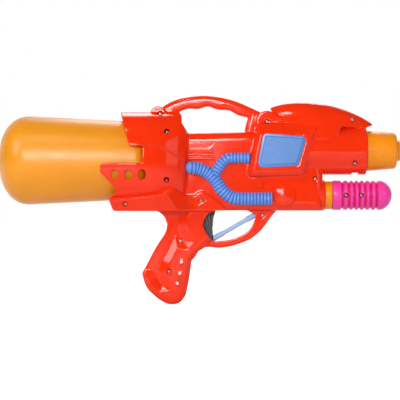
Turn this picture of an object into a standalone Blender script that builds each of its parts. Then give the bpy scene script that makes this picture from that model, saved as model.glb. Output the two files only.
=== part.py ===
"""Pump-action toy water squirter, modelled as the moulded pieces it comes apart into.

Lengths are written in millimetres and turned into Blender's metres where meshes are made.
+X points out of the muzzle, +Z is up, and Y = 0 is the parting plane of the two body shells.
The lowest point of the pistol grip stands on Z = 0.
"""

import math

import bmesh
import bpy
from mathutils import Matrix, Vector

MM = 0.001

# Gaps between pieces
FIT = 0.3
SEAM = 0.3
RUNNING_FIT = 0.3

# How far cutters reach past what they cut
PAST = 30.0
FAR = 400.0

# Height of the body's underside above the floor, from which all but the grip's foot is measured
BODY_BOTTOM_Z = 115.9

# Water tank
TANK_BACK_X = -250.0
TANK_RADIUS = 55.0
TANK_DOME = 38.4
TANK_DOME_POWER = 2.25
TANK_DRAFT = 0.05
TANK_SHOULDER_X = -66.0
TANK_SHOULDER_ROUND = 14.0
TANK_WALL = 2.0
NECK_RADIUS = 14.5
NECK_WALL = 3.0
NECK_LENGTH = 16.0

# Socket that the tank screws into
SEAL_THICKNESS = 2.0
SEAL_BORE = 10.6
SOCKET_WALL = 3.6
SOCKET_FLOOR = 3.4
SOCKET_FLANGE = 2.0
FLANGE_THICKNESS = 3.0
NIPPLE_RADIUS = 3.0
NIPPLE_LENGTH = 7.0
AIR_PORT_Y = 11.0
AIR_PORT_RISE = 6.0
PICKUP_RADIUS = 3.0
PICKUP_DROP = 5.0
PICKUP_END = 38.0
PICKUP_CLEAR = 10.1

# Body shells: half widths, measured from the parting plane
DRUM_OVERHANG = 2.0
DRUM_FOOT = 8.0
DRUM_CROWN = 5.5
DRUM_HALF_WIDTH = TANK_RADIUS + DRUM_OVERHANG
DRUM_FRONT_X = -47.0
DRUM_WALL = 5.0
DRUM_POWER = 2.3
DRUM_RECESS = 2.5
BODY_HEIGHT = 97.3
BODY_FRONT_X = 153.1
BODY_HALF_WIDTH = 22.0
BODY_ROUND = 10.0
BODY_WALL = 3.0
SHOULDER_FRONT_X = -15.6
SHOULDER_SUNK = 0.6
BELT_HALF_WIDTH = 25.5
BELT_REAR_HALF_WIDTH = 49.0
BELT_FOOT_HALF_WIDTH = 37.0
FRAME_HALF_WIDTH = 33.5
FRAME_CHAMFER = 4.0
BARREL_RISE = 74.9
BARREL_RADIUS = 30.0
BARREL_FRONT_X = 207.5
BARREL_WALL = 7.7
NOTCH_X = (190.0, 197.0)
NOTCH_HALF_WIDTH = 7.0
NOTCH_DEPTH = 1.9
CANOPY_HALF_WIDTH = 29.0
HANDLE_HALF_WIDTH = 11.5
HANDLE_ROUND = 5.5
REAR_LUG_RADIUS = 9.2
REAR_LUG_HALF_WIDTH = 18.0
FRONT_LUG_RADIUS = 13.4
FRONT_LUG_HALF_WIDTH = 20.0
GRIP_HALF_WIDTH = 15.5
GRIP_ROUND = 7.5
PALM_RISE = 1.8
GRIP_WALL = 3.5
GUARD_HALF_WIDTH = 9.5
GUARD_ROUND = 3.5
STUD_SIZE = 4.6
STUD_RISE = 1.2
DISC_RADIUS = 13.1
DISC_RISE = 2.6
RIDGE_RADIUS = 1.5
TAB_RISE = 1.2
BULKHEAD_X = -49.0
BULKHEAD = 4.0

# Side panels
PANEL_THICKNESS = 3.4
PANEL_PROUD = 0.5
PANEL_ROUND = 0.8
HOSE_RADIUS = 8.3
BRANCH_RADIUS = 6.9
HOSE_PITCH = 4.2
HOSE_GROOVE = 0.1
HOSE_SUNK = 1.2
HOSE_KNOB = (-16.9, BODY_BOTTOM_Z + 53.2)
HOSE_KNOB_RADIUS = 9.5
HOSE_KNOB_RISE = 11.0

# Nozzle
NOZZLE_REAR_RADIUS = 25.2
NOZZLE_FRONT_RADIUS = 22.5
NOZZLE_FACE_X = 245.6
NOZZLE_ROUND = 5.0
SPIGOT_LENGTH = 10.0
SHANK_RADIUS = 11.0
SHANK_LENGTH = 46.0
WATER_BORE = 2.0
TIP_RADIUS = 12.9
TIP_LENGTH = 7.0
TIP_FRONT_X = 250.0
TIP_DISH = 8.0
JET_RADIUS = 1.2

# Pump
HOUSING_RADIUS = 19.5
HOUSING_FRONT_X = 155.9
CYLINDER_RADIUS = 15.0
CYLINDER_WALL = 2.0
CYLINDER_REAR_X = 49.0
CYLINDER_FLOOR = 3.0
CAP_RADIUS = 17.4
CAP_LENGTH = 9.1
CAP_SPIGOT = 7.0
ROD_RADIUS = 4.5
PISTON_LENGTH = 10.0
PISTON_GROOVE = 4.0
PISTON_GROOVE_DEPTH = 2.2
VALVE_LENGTH = 12.5
CHECK_VALVE_RADIUS = 7.5
PUMP_GRIP_RADIUS = 18.4
PUMP_GRIP_BAND = 12.5
PUMP_GRIP_LENGTH = 74.6
PUMP_GRIP_DOME = 19.6
PUMP_GRIP_WALL = 3.4
PUMP_GRIP_RIBS = 6
PUMP_GROOVE_DEPTH = 1.3
PUMP_GROOVE_WIDTH = 2.6

# Trigger and valve
TRIGGER_PIVOT = (24.3, BODY_BOTTOM_Z + 6.1)
TRIGGER_HALF_WIDTH = 6.0
TRIGGER_EDGE = 0.8
TRIGGER_HUB = 5.0
TRIGGER_ARM = 20.0
TRIGGER_ARM_RADIUS = 3.0
PIN_RADIUS = 2.0
PIN_SKIN = 3.0
FORK_HALF_GAP = 2.6
STEM_RADIUS = 1.8
COLLAR_RADIUS = 4.6
COLLAR_THICKNESS = 2.0
VALVE_REAR_X = -8.0
VALVE_FRONT_X = 14.0
VALVE_HALF_WIDTH = 8.0
VALVE_HALF_HEIGHT = 8.2
STEM_DEPTH = 14.0
INLET_X = -4.0
OUTLET_X = 9.0
HOSE_LINE_RADIUS = 3.0
STRAP_END_RADIUS = 2.9
STRAP_MIDDLE_RADIUS = 2.2

# Screws
HEAD_RADIUS = 2.7
HEAD_HEIGHT = 2.0
SHANK = 1.4
SCREW_PAST_SEAM = 8.0
BOSS_RADIUS = 3.8

# Smoothness
SPLINE_STEPS = 3
ROUND_STEPS = 1
ARC_SAG = 0.4
FULL_TURN = 28
ROD_TURN = 24
SMALL_TURN = 12
SCREW_TURN = 8
FLAP_HOLE_TURN = 10

# Axes of the three round assemblies
TANK_RISE = DRUM_FOOT + TANK_RADIUS
DRUM_HEIGHT = TANK_RISE + TANK_RADIUS + DRUM_CROWN
DRUM_TOP_Z = BODY_BOTTOM_Z + DRUM_HEIGHT
BODY_TOP_Z = BODY_BOTTOM_Z + BODY_HEIGHT
TANK_AXIS_Z = BODY_BOTTOM_Z + TANK_RISE
BARREL_AXIS_Z = BODY_BOTTOM_Z + BARREL_RISE
PUMP_AXIS_Z = BODY_BOTTOM_Z + HOUSING_RADIUS


def above(knots):
    """Knots in the XZ plane whose heights are measured from the body's underside."""
    return [(knot[0], knot[1] + BODY_BOTTOM_Z, *knot[2:]) for knot in knots]


def lifted(places):
    """Places in space whose heights are measured from the body's underside."""
    return [(x, y, z + BODY_BOTTOM_Z) for x, y, z in places]


# Outlines in the XZ plane. A pair is a smooth knot, and a triple is a corner with its fillet radius.
DRUM_SIDE = above([
    (-98.0, DRUM_HEIGHT, 1.5), (-85.5, 79.3, 6.0), (-69.8, 79.3, 1.5), (-69.8, 58.7, 1.5),
    (-121.5, 58.7, 6.0), (-121.0, 47.6, 4.0), (-104.0, 29.6, 5.0), (-101.5, 23.1, 2.5), (-112.0, 14.6, 3.0),
    (-107.0, 0.0, 4.0), (-6.0, 0.0, 0.0), (-6.0, 84.1, 0.0), (-22.0, 109.1, 3.0),
    (-22.0, DRUM_HEIGHT, 10.0),
])
BELT_SIDE = above([
    (-110.8, 13.5, 3.0), (-93.0, 14.8), (-48.6, 19.8), (-31.4, 27.1), (-19.1, 19.8), (-8.0, 18.5),
    (1.9, 23.5), (11.7, 18.5), (28.0, 7.1, 0.0), (34.0, 0.0, 0.0), (-106.0, 0.0, 4.0),
])
FRAME_SIDE = above([
    (61.0, 42.7, 0.0), (128.5, 44.6, 0.0), (143.5, 97.9, 0.0), (71.0, 98.3, 0.0), (60.5, 50.1, 0.0),
])
WINDOW_SIDE = above([
    (81.7, 95.6, 1.0), (128.9, 92.2, 1.5), (131.4, 89.4, 1.5), (122.3, 57.3, 1.5), (119.8, 55.4, 1.5),
    (75.6, 53.2, 1.5), (71.6, 57.8, 1.5), (77.8, 92.2, 1.5),
])
CANOPY_SIDE = above([
    (88.1, 127.9, 0.0), (92.5, 130.7), (106.0, 134.0), (124.0, 135.5), (142.0, 134.7), (162.0, 131.6),
    (182.6, 125.4), (200.6, 117.7), (214.0, 109.7), (216.6, 107.1, 1.0), (205.0, 102.7, 0.0),
    (175.5, 104.8, 3.0), (170.7, 90.0, 1.5), (143.0, 88.3, 0.0), (104.0, 87.1, 0.0), (76.0, 94.1, 0.0),
    (80.0, 110.1, 0.0), (91.3, 122.1, 0.0),
])
HANDLE_SIDE = above([
    (-52.0, 118.1, 0.0), (-48.0, 128.7, 0.0), (-34.6, 136.3), (-17.5, 141.5), (7.5, 143.7), (39.4, 138.6),
    (76.0, 123.1, 0.0), (86.0, 116.1, 0.0), (86.0, 86.1, 0.0), (55.5, 84.1, 0.0), (56.8, 103.1),
    (60.3, 116.4, 2.5), (48.0, 119.4), (37.0, 125.1), (22.5, 126.3), (10.6, 130.1), (-1.9, 127.0),
    (-14.3, 127.4), (-28.5, 122.1, 0.0), (-36.0, 112.1, 0.0),
])
GRIP_FOOT_REAR = [(-67.4, 46.0, 0.0), (-71.8, 38.2, 0.0), (-66.0, 21.1), (-52.0, 7.8), (-37.5, 0.0, 0.0)]
GRIP_FOOT_FRONT = [(-28.0, 0.0, 0.0), (-16.8, 11.8, 0.0), (-12.9, 31.6)]
GRIP_SIDE = [
    *above([(-42.0, 12.1, 0.0), (-40.6, -7.9, 0.0), (-40.2, -17.4), (-42.4, -26.5), (-54.6, -45.8)]),
    *GRIP_FOOT_REAR,
    *GRIP_FOOT_FRONT,
    *above([
        (-9.6, -61.4, 0.0), (-5.1, -56.8, 0.0), (-1.5, -50.5, 0.0), (6.0, -45.9, 0.0), (16.0, -33.9, 0.0),
        (14.0, 12.1, 0.0)]),
]
GRIP_FLARE = above([
    (-57.0, 0.8, 0.0), (-49.4, -2.0), (-43.1, -8.3), (-40.9, -14.9, 0.0), (-34.0, -15.9, 0.0),
    (-34.0, 5.1, 0.0), (-57.0, 5.1, 0.0),
])
PALM_SIDE = [
    *above([
        (-7.1, 3.7, 0.0), (-18.0, -11.2), (-19.2, -23.6), (-8.7, -37.0, 0.0), (-18.0, -47.2), (-26.7, -44.3),
        (-37.8, -54.6)]),
    (-40.7, 45.2), (-47.0, 32.8), (-64.0, 31.5, 0.0), (-90.0, 31.5, 0.0),
    *above([(-90.0, 3.7, 0.0)]),
]
GRIP_HOLLOW = [
    *above([(-34.5, 5.1, 0.0), (-34.5, -17.9, 0.0), (-36.5, -25.9, 0.0)]),
    (-62.0, 44.0, 0.0), (-64.5, 35.0, 4.0), (-54.0, 15.0, 4.0), (-34.0, 6.0, 0.0), (-27.0, 6.0, 0.0),
    (-22.0, 14.0, 0.0), (-15.5, 44.0, 0.0),
    *above([(-13.0, -55.9, 0.0), (-4.0, -43.9, 0.0), (-1.0, -27.9, 0.0), (1.0, 5.1, 0.0)]),
]
GUARD_SIDE = above([
    (-6.0, -49.9, 0.0), (3.0, -46.6, 0.0), (12.0, -45.0), (23.8, -46.1), (39.4, -43.9), (51.9, -40.1),
    (64.4, -34.5), (76.9, -23.9), (90.6, -5.8), (96.5, 0.6, 0.0), (94.0, 8.1, 0.0), (-6.0, 8.1, 0.0),
])
FINGER_SIDE = above([
    (4.4, -16.3), (6.2, -9.9), (11.0, -3.7), (20.0, 0.6, 0.0), (58.0, 0.8, 2.0), (70.4, -4.5, 2.5),
    (69.3, -9.9), (64.1, -21.3), (54.8, -29.4), (39.2, -35.6), (22.0, -37.7), (16.5, -37.7, 0.0),
    (11.2, -31.2), (6.2, -23.7),
])
BODY_HOLLOW = above([
    (-36.0, 4.1, 0.0), (CYLINDER_REAR_X + 1.0, 4.1, 0.0), (CYLINDER_REAR_X + 1.0, 48.1, 0.0),
    (86.0, 50.1, 0.0), (86.0, 90.1, 0.0), (-18.0, 92.1, 0.0), (-36.0, 87.1, 0.0),
])
FRAME_HOLLOW = above([
    (70.0, 50.1, 0.0), (120.0, 50.1, 0.0), (128.0, 89.1, 0.0), (79.0, 89.1, 0.0),
])
FEED_ROUTE = lifted([
    (-24.0, 0.0, 62.7), (-14.0, 0.0, 59.1), (-7.2, 0.0, 52.3), (-4.0, 0.0, 46.1),
])
DELIVERY_ROUTE = lifted([
    (9.0, 0.0, 47.1), (14.5, 0.0, 59.1), (26.0, 0.0, 68.3), (45.0, 0.0, 73.4), (80.0, 0.0, 74.9),
    (120.0, 0.0, 74.9),
])
AIR_ROUTE = lifted([
    (42.4, 0.0, 37.1), (39.0, 5.0, 47.1), (30.0, 10.0, 55.1), (15.0, 12.5, 61.1), (-5.0, 12.2, 66.1),
    (-20.0, 11.2, 68.7),
])
PICKUP_LOW = TANK_RADIUS - PICKUP_CLEAR
PICKUP_ROUTE = [
    (TANK_SHOULDER_X - 14.0, 0.0, TANK_AXIS_Z - PICKUP_DROP - 0.4),
    (TANK_SHOULDER_X - 36.0, 0.0, TANK_AXIS_Z - 19.9),
    (TANK_BACK_X + PICKUP_END + 62.0, 0.0, TANK_AXIS_Z - PICKUP_LOW + 4.5),
    (TANK_BACK_X + PICKUP_END, 0.0, TANK_AXIS_Z - PICKUP_LOW),
]
HOSE_MAIN = above([
    (-15.4, 53.5), (-3.1, 52.7), (9.3, 47.5), (19.1, 38.3), (27.8, 25.9), (40.1, 16.7), (53.7, 15.2),
    (89.5, 15.2),
])
HOSE_BRANCH = above([
    (17.0, 41.6), (22.0, 51.1), (27.5, 58.9), (35.0, 64.7), (45.0, 65.4), (63.0, 65.4),
])
STRAP_ROUTE = above([
    (15.6, -35.5), (32.0, -24.9), (46.0, -16.5), (58.0, -10.3), (72.6, -3.3),
])
RIDGES_Z = [BODY_BOTTOM_Z + rise for rise in (74.1, 69.8, 64.9)]
RIDGE_REAR_X = -14.0
RIDGE_LENGTH = 30.0
FLAP_HOLES = above([
    (-103.3, 44.0), (-86.6, 44.0), (-70.1, 44.6),
])
FLAP_HOLE_WIDTH = 8.2
FLAP_HOLE_HEIGHT = 12.0
STUDS = ((-22.3, 52.6), (-24.4, 38.6), (-27.5, 26.2))
TAB_SIDE = above([
    (67.8, 28.4, 1.0), (78.2, 28.4, 1.0), (78.2, 40.8, 1.0), (67.8, 40.8, 1.0),
])
DISC_CENTRE = (104.9, PUMP_AXIS_Z - 0.5)
REAR_LUG = (-51.5, BODY_BOTTOM_Z + 120.7)
FRONT_LUG = (83.5, BODY_BOTTOM_Z + 110.8)
TRIGGER_BLADE = [
    (-3.0, -3.0, 0.0), (-5.0, -8.0, 0.0), (-7.7, -19.3), (-8.1, -27.4), (-7.5, -36.0), (-6.9, -43.1, 1.0),
    (-13.8, -42.6, 2.0), (-25.3, -27.0), (-23.8, -14.0), (-15.3, -2.0, 3.0),
]
TRIGGER_SLOT = above([
    (-12.0, -37.9, 0.0), (18.0, -37.3, 0.0), (22.0, -11.9, 0.0), (22.0, -2.4, 0.0), (33.0, -2.4, 0.0),
    (33.0, 8.1, 0.0), (-12.0, 8.1, 0.0),
])

# Screw places on the left shell: X, Z, and how far from the parting plane the head's seat lies
SHELL_SCREWS = above([
    (-49.0, 120.7, 12.5), (-40.3, TANK_RISE + 34.8, 22.0), (-40.4, TANK_RISE - 24.8, 24.0),
    (-91.2, 8.7, 30.0), (1.9, 13.0, 20.0), (-23.9, -37.3, 11.5),
    (-37.8, 40.8 - BODY_BOTTOM_Z, 11.5), (78.3, -5.6, 6.0), (83.5, 110.8, 15.0),
    (189.7, 113.3, 14.0), (191.9, 59.2, 18.0), (142.9, 39.7, 17.0),
])
PUMP_SCREWS_X = (182.0, 200.4)
PUMP_SCREW_SEAT = 13.4


def clear_scene():
    for obj in list(bpy.data.objects):
        bpy.data.objects.remove(obj, do_unlink=True)


def new_collection(name):
    found = bpy.data.collections.new(name)
    bpy.context.scene.collection.children.link(found)
    return found


clear_scene()
PARTS = new_collection("water_squirter")
CUTTERS = new_collection("water_squirter_cutters")


def material(name, colour, roughness, metallic=0.0):
    made = bpy.data.materials.new(name)
    made.use_nodes = True
    shader = made.node_tree.nodes["Principled BSDF"]
    shader.inputs["Base Color"].default_value = (*colour, 1.0)
    shader.inputs["Roughness"].default_value = roughness
    shader.inputs["Metallic"].default_value = metallic
    return made


def baked(obj):
    """Turns an object with its modifiers into a plain, welded, outward-facing mesh object in world space."""
    bpy.context.view_layer.update()
    graph = bpy.context.evaluated_depsgraph_get()
    mesh = bpy.data.meshes.new_from_object(obj.evaluated_get(graph))
    mesh.transform(obj.matrix_world)
    bm = bmesh.new()
    bm.from_mesh(mesh)
    bmesh.ops.remove_doubles(bm, verts=bm.verts, dist=0.002 * MM)
    bmesh.ops.dissolve_degenerate(bm, edges=bm.edges, dist=0.002 * MM)
    bmesh.ops.recalc_face_normals(bm, faces=bm.faces)
    bm.to_mesh(mesh)
    bm.free()
    name = obj.name
    bpy.data.objects.remove(obj, do_unlink=True)
    return cutter(name, mesh)


def cutter(name, data):
    obj = bpy.data.objects.new(name, data)
    CUTTERS.objects.link(obj)
    obj.hide_render = True
    obj.display_type = "WIRE"
    return obj


def combine(target, tool, operation):
    """Applies one exact Boolean and removes the tool."""
    step = target.modifiers.new(operation.lower(), "BOOLEAN")
    step.operation = operation
    step.solver = "EXACT"
    step.object = tool
    made = baked(target)
    bpy.data.objects.remove(tool, do_unlink=True)
    return made


def joined(first, *others):
    for other in others:
        first = combine(first, other, "UNION")
    return first


def cut(target, *tools):
    for tool in tools:
        target = combine(target, tool, "DIFFERENCE")
    return target


def common(first, *others):
    for other in others:
        first = combine(first, other, "INTERSECT")
    return first


def gathered(name, solids):
    """Several separate solids in one object, so that a single Boolean can use them all."""
    mesh = bpy.data.meshes.new(name)
    bm = bmesh.new()
    for solid in solids:
        bm.from_mesh(solid.data)
        bpy.data.objects.remove(solid, do_unlink=True)
    bm.to_mesh(mesh)
    bm.free()
    return cutter(name, mesh)


def arc_corner(before, corner, after, radius):
    """The points of a fillet in a corner, limited to the room its two edges give."""
    to_before = before - corner
    to_after = after - corner
    half = to_before.angle(to_after) / 2.0
    reach = min(radius / math.tan(half), 0.49 * to_before.length, 0.49 * to_after.length)
    radius = reach * math.tan(half)
    if radius < 0.05:
        return [corner]
    bisector = (to_before.normalized() + to_after.normalized()).normalized()
    centre = corner + bisector * (radius / math.sin(half))
    start = corner + to_before.normalized() * reach - centre
    turn = math.pi - 2.0 * half
    side = 1.0 if to_before.x * to_after.y - to_before.y * to_after.x < 0 else -1.0
    steps = max(1, math.ceil(turn / (2.0 * math.acos(max(0.2, 1.0 - ARC_SAG / radius)))))
    points = []
    for i in range(steps + 1):
        angle = side * turn * i / steps
        c = math.cos(angle)
        s = math.sin(angle)
        points.append(centre + Vector((start.x * c - start.y * s, start.x * s + start.y * c)))
    return points


def blend(start, end, leave, arrive, steps):
    """Points of one Hermite span, without its end."""
    points = []
    for i in range(steps):
        t = i / steps
        a = 2 * t**3 - 3 * t**2 + 1
        b = t**3 - 2 * t**2 + t
        c = -2 * t**3 + 3 * t**2
        d = t**3 - t**2
        points.append(start * a + leave * b + end * c + arrive * d)
    return points


def outline(knots):
    """A closed outline as points: pairs are smooth knots, triples are corners with a fillet radius."""
    places = [Vector(knot[:2]) for knot in knots]
    count = len(knots)
    points = []
    for i, knot in enumerate(knots):
        here = places[i]
        before = places[i - 1]
        after = places[(i + 1) % count]
        following = knots[(i + 1) % count]
        straight_in = len(knot) == 3 and len(knots[i - 1]) == 3
        straight_out = len(knot) == 3 and len(following) == 3
        if straight_in and straight_out:
            points += arc_corner(before, here, after, knot[2])
            continue
        if straight_out:
            points.append(here)
            continue
        span = after - here
        leave = span if len(knot) == 3 else (after - before) * span.length / (
            span.length + (here - before).length)
        beyond = places[(i + 2) % count]
        arrive = span if len(following) == 3 else (beyond - here) * span.length / (
            span.length + (beyond - after).length)
        points += blend(here, after, leave, arrive, SPLINE_STEPS)
    return points


def route(knots, spacing):
    """Evenly spaced points on a smooth open curve through the knots."""
    places = [Vector(knot) for knot in knots]
    fine = []
    for i in range(len(places) - 1):
        here = places[i]
        after = places[i + 1]
        before = places[i - 1] if i else here - (after - here)
        beyond = places[i + 2] if i + 2 < len(places) else after + (after - here)
        span = (after - here).length
        leave = (after - before) * span / (span + (here - before).length)
        arrive = (beyond - here) * span / (span + (beyond - after).length)
        fine += blend(here, after, leave, arrive, 24)
    fine.append(places[-1])
    total = sum((b - a).length for a, b in zip(fine, fine[1:]))
    count = max(2, round(total / spacing))
    points = [fine[0]]
    walked = 0.0
    for a, b in zip(fine, fine[1:]):
        step = (b - a).length
        while len(points) < count and walked + step >= total * len(points) / count:
            points.append(a.lerp(b, (total * len(points) / count - walked) / step))
        walked += step
    points.append(fine[-1])
    return points


TURNS = {
    "X": Matrix(((0, 0, 1), (1, 0, 0), (0, 1, 0))).to_4x4(),
    "Y": Matrix.Rotation(math.pi / 2, 4, "X"),
    "Z": Matrix.Identity(4),
}


def prism(name, points, axis, low, high, edge=0.0):
    """A flat outline swept along an axis, with its rims rounded by edge."""
    curve = bpy.data.curves.new(name, "CURVE")
    curve.dimensions = "2D"
    curve.fill_mode = "BOTH"
    spline = curve.splines.new("POLY")
    spline.points.add(len(points) - 1)
    for point, place in zip(spline.points, points):
        point.co = (place[0] * MM, place[1] * MM, 0.0, 1.0)
    spline.use_cyclic_u = True
    curve.extrude = ((high - low) / 2.0 - edge) * MM
    curve.bevel_depth = edge * MM
    curve.bevel_resolution = ROUND_STEPS if edge > 2.5 else 0
    curve.offset = -edge * MM
    obj = cutter(name, curve)
    middle = (high + low) / 2.0 * MM
    shift = {"X": (middle, 0, 0), "Y": (0, middle, 0), "Z": (0, 0, middle)}[axis]
    obj.matrix_world = Matrix.Translation(shift) @ TURNS[axis]
    return baked(obj)


def slab(name, knots, half_width, edge=0.0):
    """A side outline carried the same distance to both sides of the parting plane."""
    return prism(name, outline(knots), "Y", -half_width, half_width, edge)


def cylinder(name, axis, centre, low, high, radius, sides=SMALL_TURN):
    mesh = bpy.data.meshes.new(name)
    bm = bmesh.new()
    bmesh.ops.create_cone(
        bm, cap_ends=True, segments=round(sides), radius1=radius * MM, radius2=radius * MM,
        depth=(high - low) * MM)
    bm.to_mesh(mesh)
    bm.free()
    obj = cutter(name, mesh)
    middle = (high + low) / 2.0
    if axis == "X":
        obj.location = Vector((middle, centre[0], centre[1])) * MM
        obj.rotation_euler = (0.0, math.pi / 2, 0.0)
    elif axis == "Y":
        obj.location = Vector((centre[0], middle, centre[1])) * MM
        obj.rotation_euler = (math.pi / 2, 0.0, 0.0)
    else:
        obj.location = Vector((centre[0], centre[1], middle)) * MM
    return baked(obj)


def turned(name, profile, axis_z, sides=FULL_TURN, closed=False):
    """A profile of (X, radius) pairs spun about the line through axis_z, parallel to X."""
    mesh = bpy.data.meshes.new(name)
    bm = bmesh.new()
    verts = [bm.verts.new((radius * MM, 0.0, x * MM)) for x, radius in profile]
    for a, b in zip(verts, verts[1:]):
        bm.edges.new((a, b))
    if closed:
        bm.edges.new((verts[-1], verts[0]))
    bm.to_mesh(mesh)
    bm.free()
    obj = cutter(name, mesh)
    screw = obj.modifiers.new("turn", "SCREW")
    screw.axis = "Z"
    screw.steps = round(sides)
    screw.render_steps = round(sides)
    screw.use_merge_vertices = True
    screw.merge_threshold = 0.00001
    obj.location = (0.0, 0.0, axis_z * MM)
    obj.rotation_euler = (0.0, math.pi / 2, 0.0)
    return baked(obj)


def tube(name, points, radius, radii=None, resolution=2):
    """A round rod along a path, whose thickness may change from point to point."""
    curve = bpy.data.curves.new(name, "CURVE")
    curve.dimensions = "3D"
    spline = curve.splines.new("POLY")
    spline.points.add(len(points) - 1)
    for i, (point, place) in enumerate(zip(spline.points, points)):
        point.co = (*(Vector(place) * MM), 1.0)
        point.radius = radii[i] if radii else 1.0
    curve.bevel_depth = radius * MM
    curve.bevel_resolution = resolution
    curve.use_fill_caps = True
    return baked(cutter(name, curve))


def block(name, low, high):
    mesh = bpy.data.meshes.new(name)
    bm = bmesh.new()
    bmesh.ops.create_cube(bm, size=1.0)
    bm.to_mesh(mesh)
    bm.free()
    obj = cutter(name, mesh)
    low = Vector(low)
    high = Vector(high)
    obj.location = (low + high) / 2.0 * MM
    obj.scale = (high - low) * MM
    return baked(obj)


def mirrored(obj, name):
    """A copy of a piece on the other side of the parting plane."""
    copy = cutter(name, obj.data.copy())
    copy.scale = (1.0, -1.0, 1.0)
    return baked(copy)


def copied(obj, name):
    return cutter(name, obj.data.copy())


def piece(obj, name, look, parent=None):
    """Makes a finished solid one of the parts."""
    obj.name = name
    obj.data.name = name
    CUTTERS.objects.unlink(obj)
    PARTS.objects.link(obj)
    obj.hide_render = False
    obj.display_type = "TEXTURED"
    obj.data.materials.clear()
    obj.data.materials.append(look)
    obj.data.shade_smooth()
    obj.data.set_sharp_from_angle(angle=math.radians(32))
    if parent:
        obj.parent = parent
        obj.matrix_parent_inverse = Matrix.Translation(-parent.location)
    return obj


def pivot(name, place):
    empty = bpy.data.objects.new(name, None)
    PARTS.objects.link(empty)
    empty.location = Vector(place) * MM
    empty.empty_display_size = 0.02
    return empty


# Derived places
DRUM_MIDDLE_Z = (DRUM_TOP_Z + BODY_BOTTOM_Z) / 2.0
DRUM_HALF_HEIGHT = (DRUM_TOP_Z - BODY_BOTTOM_Z) / 2.0
NECK_ROOT_X = TANK_SHOULDER_X + 5.0
NECK_END_X = NECK_ROOT_X + NECK_LENGTH
SEAL_END_X = NECK_END_X + FIT + SEAL_THICKNESS
SOCKET_FLOOR_X = SEAL_END_X + FIT
SOCKET_END_X = SOCKET_FLOOR_X + SOCKET_FLOOR
SOCKET_RADIUS = NECK_RADIUS + RUNNING_FIT + SOCKET_WALL
BULKHEAD_FRONT_X = BULKHEAD_X + BULKHEAD
NIPPLE_END_X = SOCKET_END_X + NIPPLE_LENGTH
SHANK_REAR_X = BARREL_FRONT_X - SPIGOT_LENGTH - SHANK_LENGTH
BARREL_BORE = BARREL_RADIUS - BARREL_WALL
VALVE_Z = TRIGGER_PIVOT[1] + TRIGGER_ARM
VALVE_TOP_Z = VALVE_Z + VALVE_HALF_HEIGHT
COLLAR_X = TRIGGER_PIVOT[0] + TRIGGER_ARM_RADIUS + FIT
CAP_REAR_X = HOUSING_FRONT_X + FIT
PUMP_GRIP_REAR_X = CAP_REAR_X + CAP_LENGTH + FIT
PUMP_GRIP_FRONT_X = PUMP_GRIP_REAR_X + PUMP_GRIP_LENGTH
CYLINDER_BORE = CYLINDER_RADIUS - CYLINDER_WALL
PISTON_REAR_X = CYLINDER_REAR_X + CYLINDER_FLOOR + 1.0
PISTON_RADIUS = CYLINDER_BORE - RUNNING_FIT
CHECK_VALVE_X = CYLINDER_REAR_X - FIT - VALVE_LENGTH
INNER_HALF_WIDTH = BODY_HALF_WIDTH - BODY_WALL
PIN_END = BELT_HALF_WIDTH - PIN_SKIN

RED = material("red_shell", (0.90, 0.045, 0.008), 0.32)
AMBER = material("amber_tank", (0.86, 0.33, 0.025), 0.3)
YELLOW = material("yellow_plastic", (0.90, 0.30, 0.008), 0.35)
PINK = material("pink_grip", (0.86, 0.05, 0.30), 0.4)
BLUE = material("blue_moulding", (0.06, 0.22, 0.70), 0.35)
GLASS_BLUE = material("blue_window", (0.14, 0.33, 0.74), 0.3)
STRAP_BLUE = material("blue_elastic", (0.26, 0.45, 0.83), 0.5)
GREY = material("grey_trigger", (0.06, 0.06, 0.07), 0.25)
STEEL = material("steel_screw", (0.55, 0.55, 0.56), 0.3, 1.0)
WHITE = material("white_valve", (0.8, 0.8, 0.78), 0.4)
CLEAR = material("clear_hose", (0.75, 0.78, 0.8), 0.25)
RUBBER = material("black_rubber", (0.02, 0.02, 0.02), 0.7)


def oval(half_width, half_height, middle_z, power, count=36):
    """A squarish oval in the YZ plane."""
    points = []
    for i in range(count):
        a = 2.0 * math.pi * i / count
        c = math.cos(a)
        s = math.sin(a)
        y = half_width * math.copysign(abs(c) ** (2.0 / power), c)
        z = half_height * math.copysign(abs(s) ** (2.0 / power), s)
        points.append(Vector((y, middle_z + z)))
    return points


def plan(inset):
    """The drum and its shoulder seen from above, drawn in by inset."""
    wide = DRUM_HALF_WIDTH - inset
    narrow = BODY_HALF_WIDTH - SHOULDER_SUNK - inset
    half = [
        (-130.0, wide, 0.0), (DRUM_FRONT_X, wide, 12.0), (SHOULDER_FRONT_X, narrow, 6.0), (0.0, narrow, 0.0)]
    return outline(half + [(x, -y, r) for x, y, r in reversed(half)])


def drum_form():
    section = oval(DRUM_HALF_WIDTH, DRUM_HALF_HEIGHT - 0.3, DRUM_MIDDLE_Z, DRUM_POWER)
    drum = prism("drum", section, "X", -128.0, -7.0)
    drum = common(
        drum, slab("drum_side", DRUM_SIDE, DRUM_HALF_WIDTH + PAST),
        prism("drum_plan", plan(0.0), "Z", BODY_BOTTOM_Z - PAST, DRUM_TOP_Z + PAST))
    channel = slab(
        "channel",
        above([
            (-76.0, 58.7, 0.0), (-76.0, 79.3, 0.0), (-49.0, 79.3, 4.0), (-21.0, 64.6, 0.0),
            (-21.0, 58.7, 0.0)]),
        DRUM_HALF_WIDTH + PAST)
    floor = prism("channel_floor", plan(DRUM_RECESS), "Z", BODY_BOTTOM_Z - PAST, DRUM_TOP_Z + PAST)
    channel = cut(channel, floor)
    return cut(drum, channel)


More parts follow.
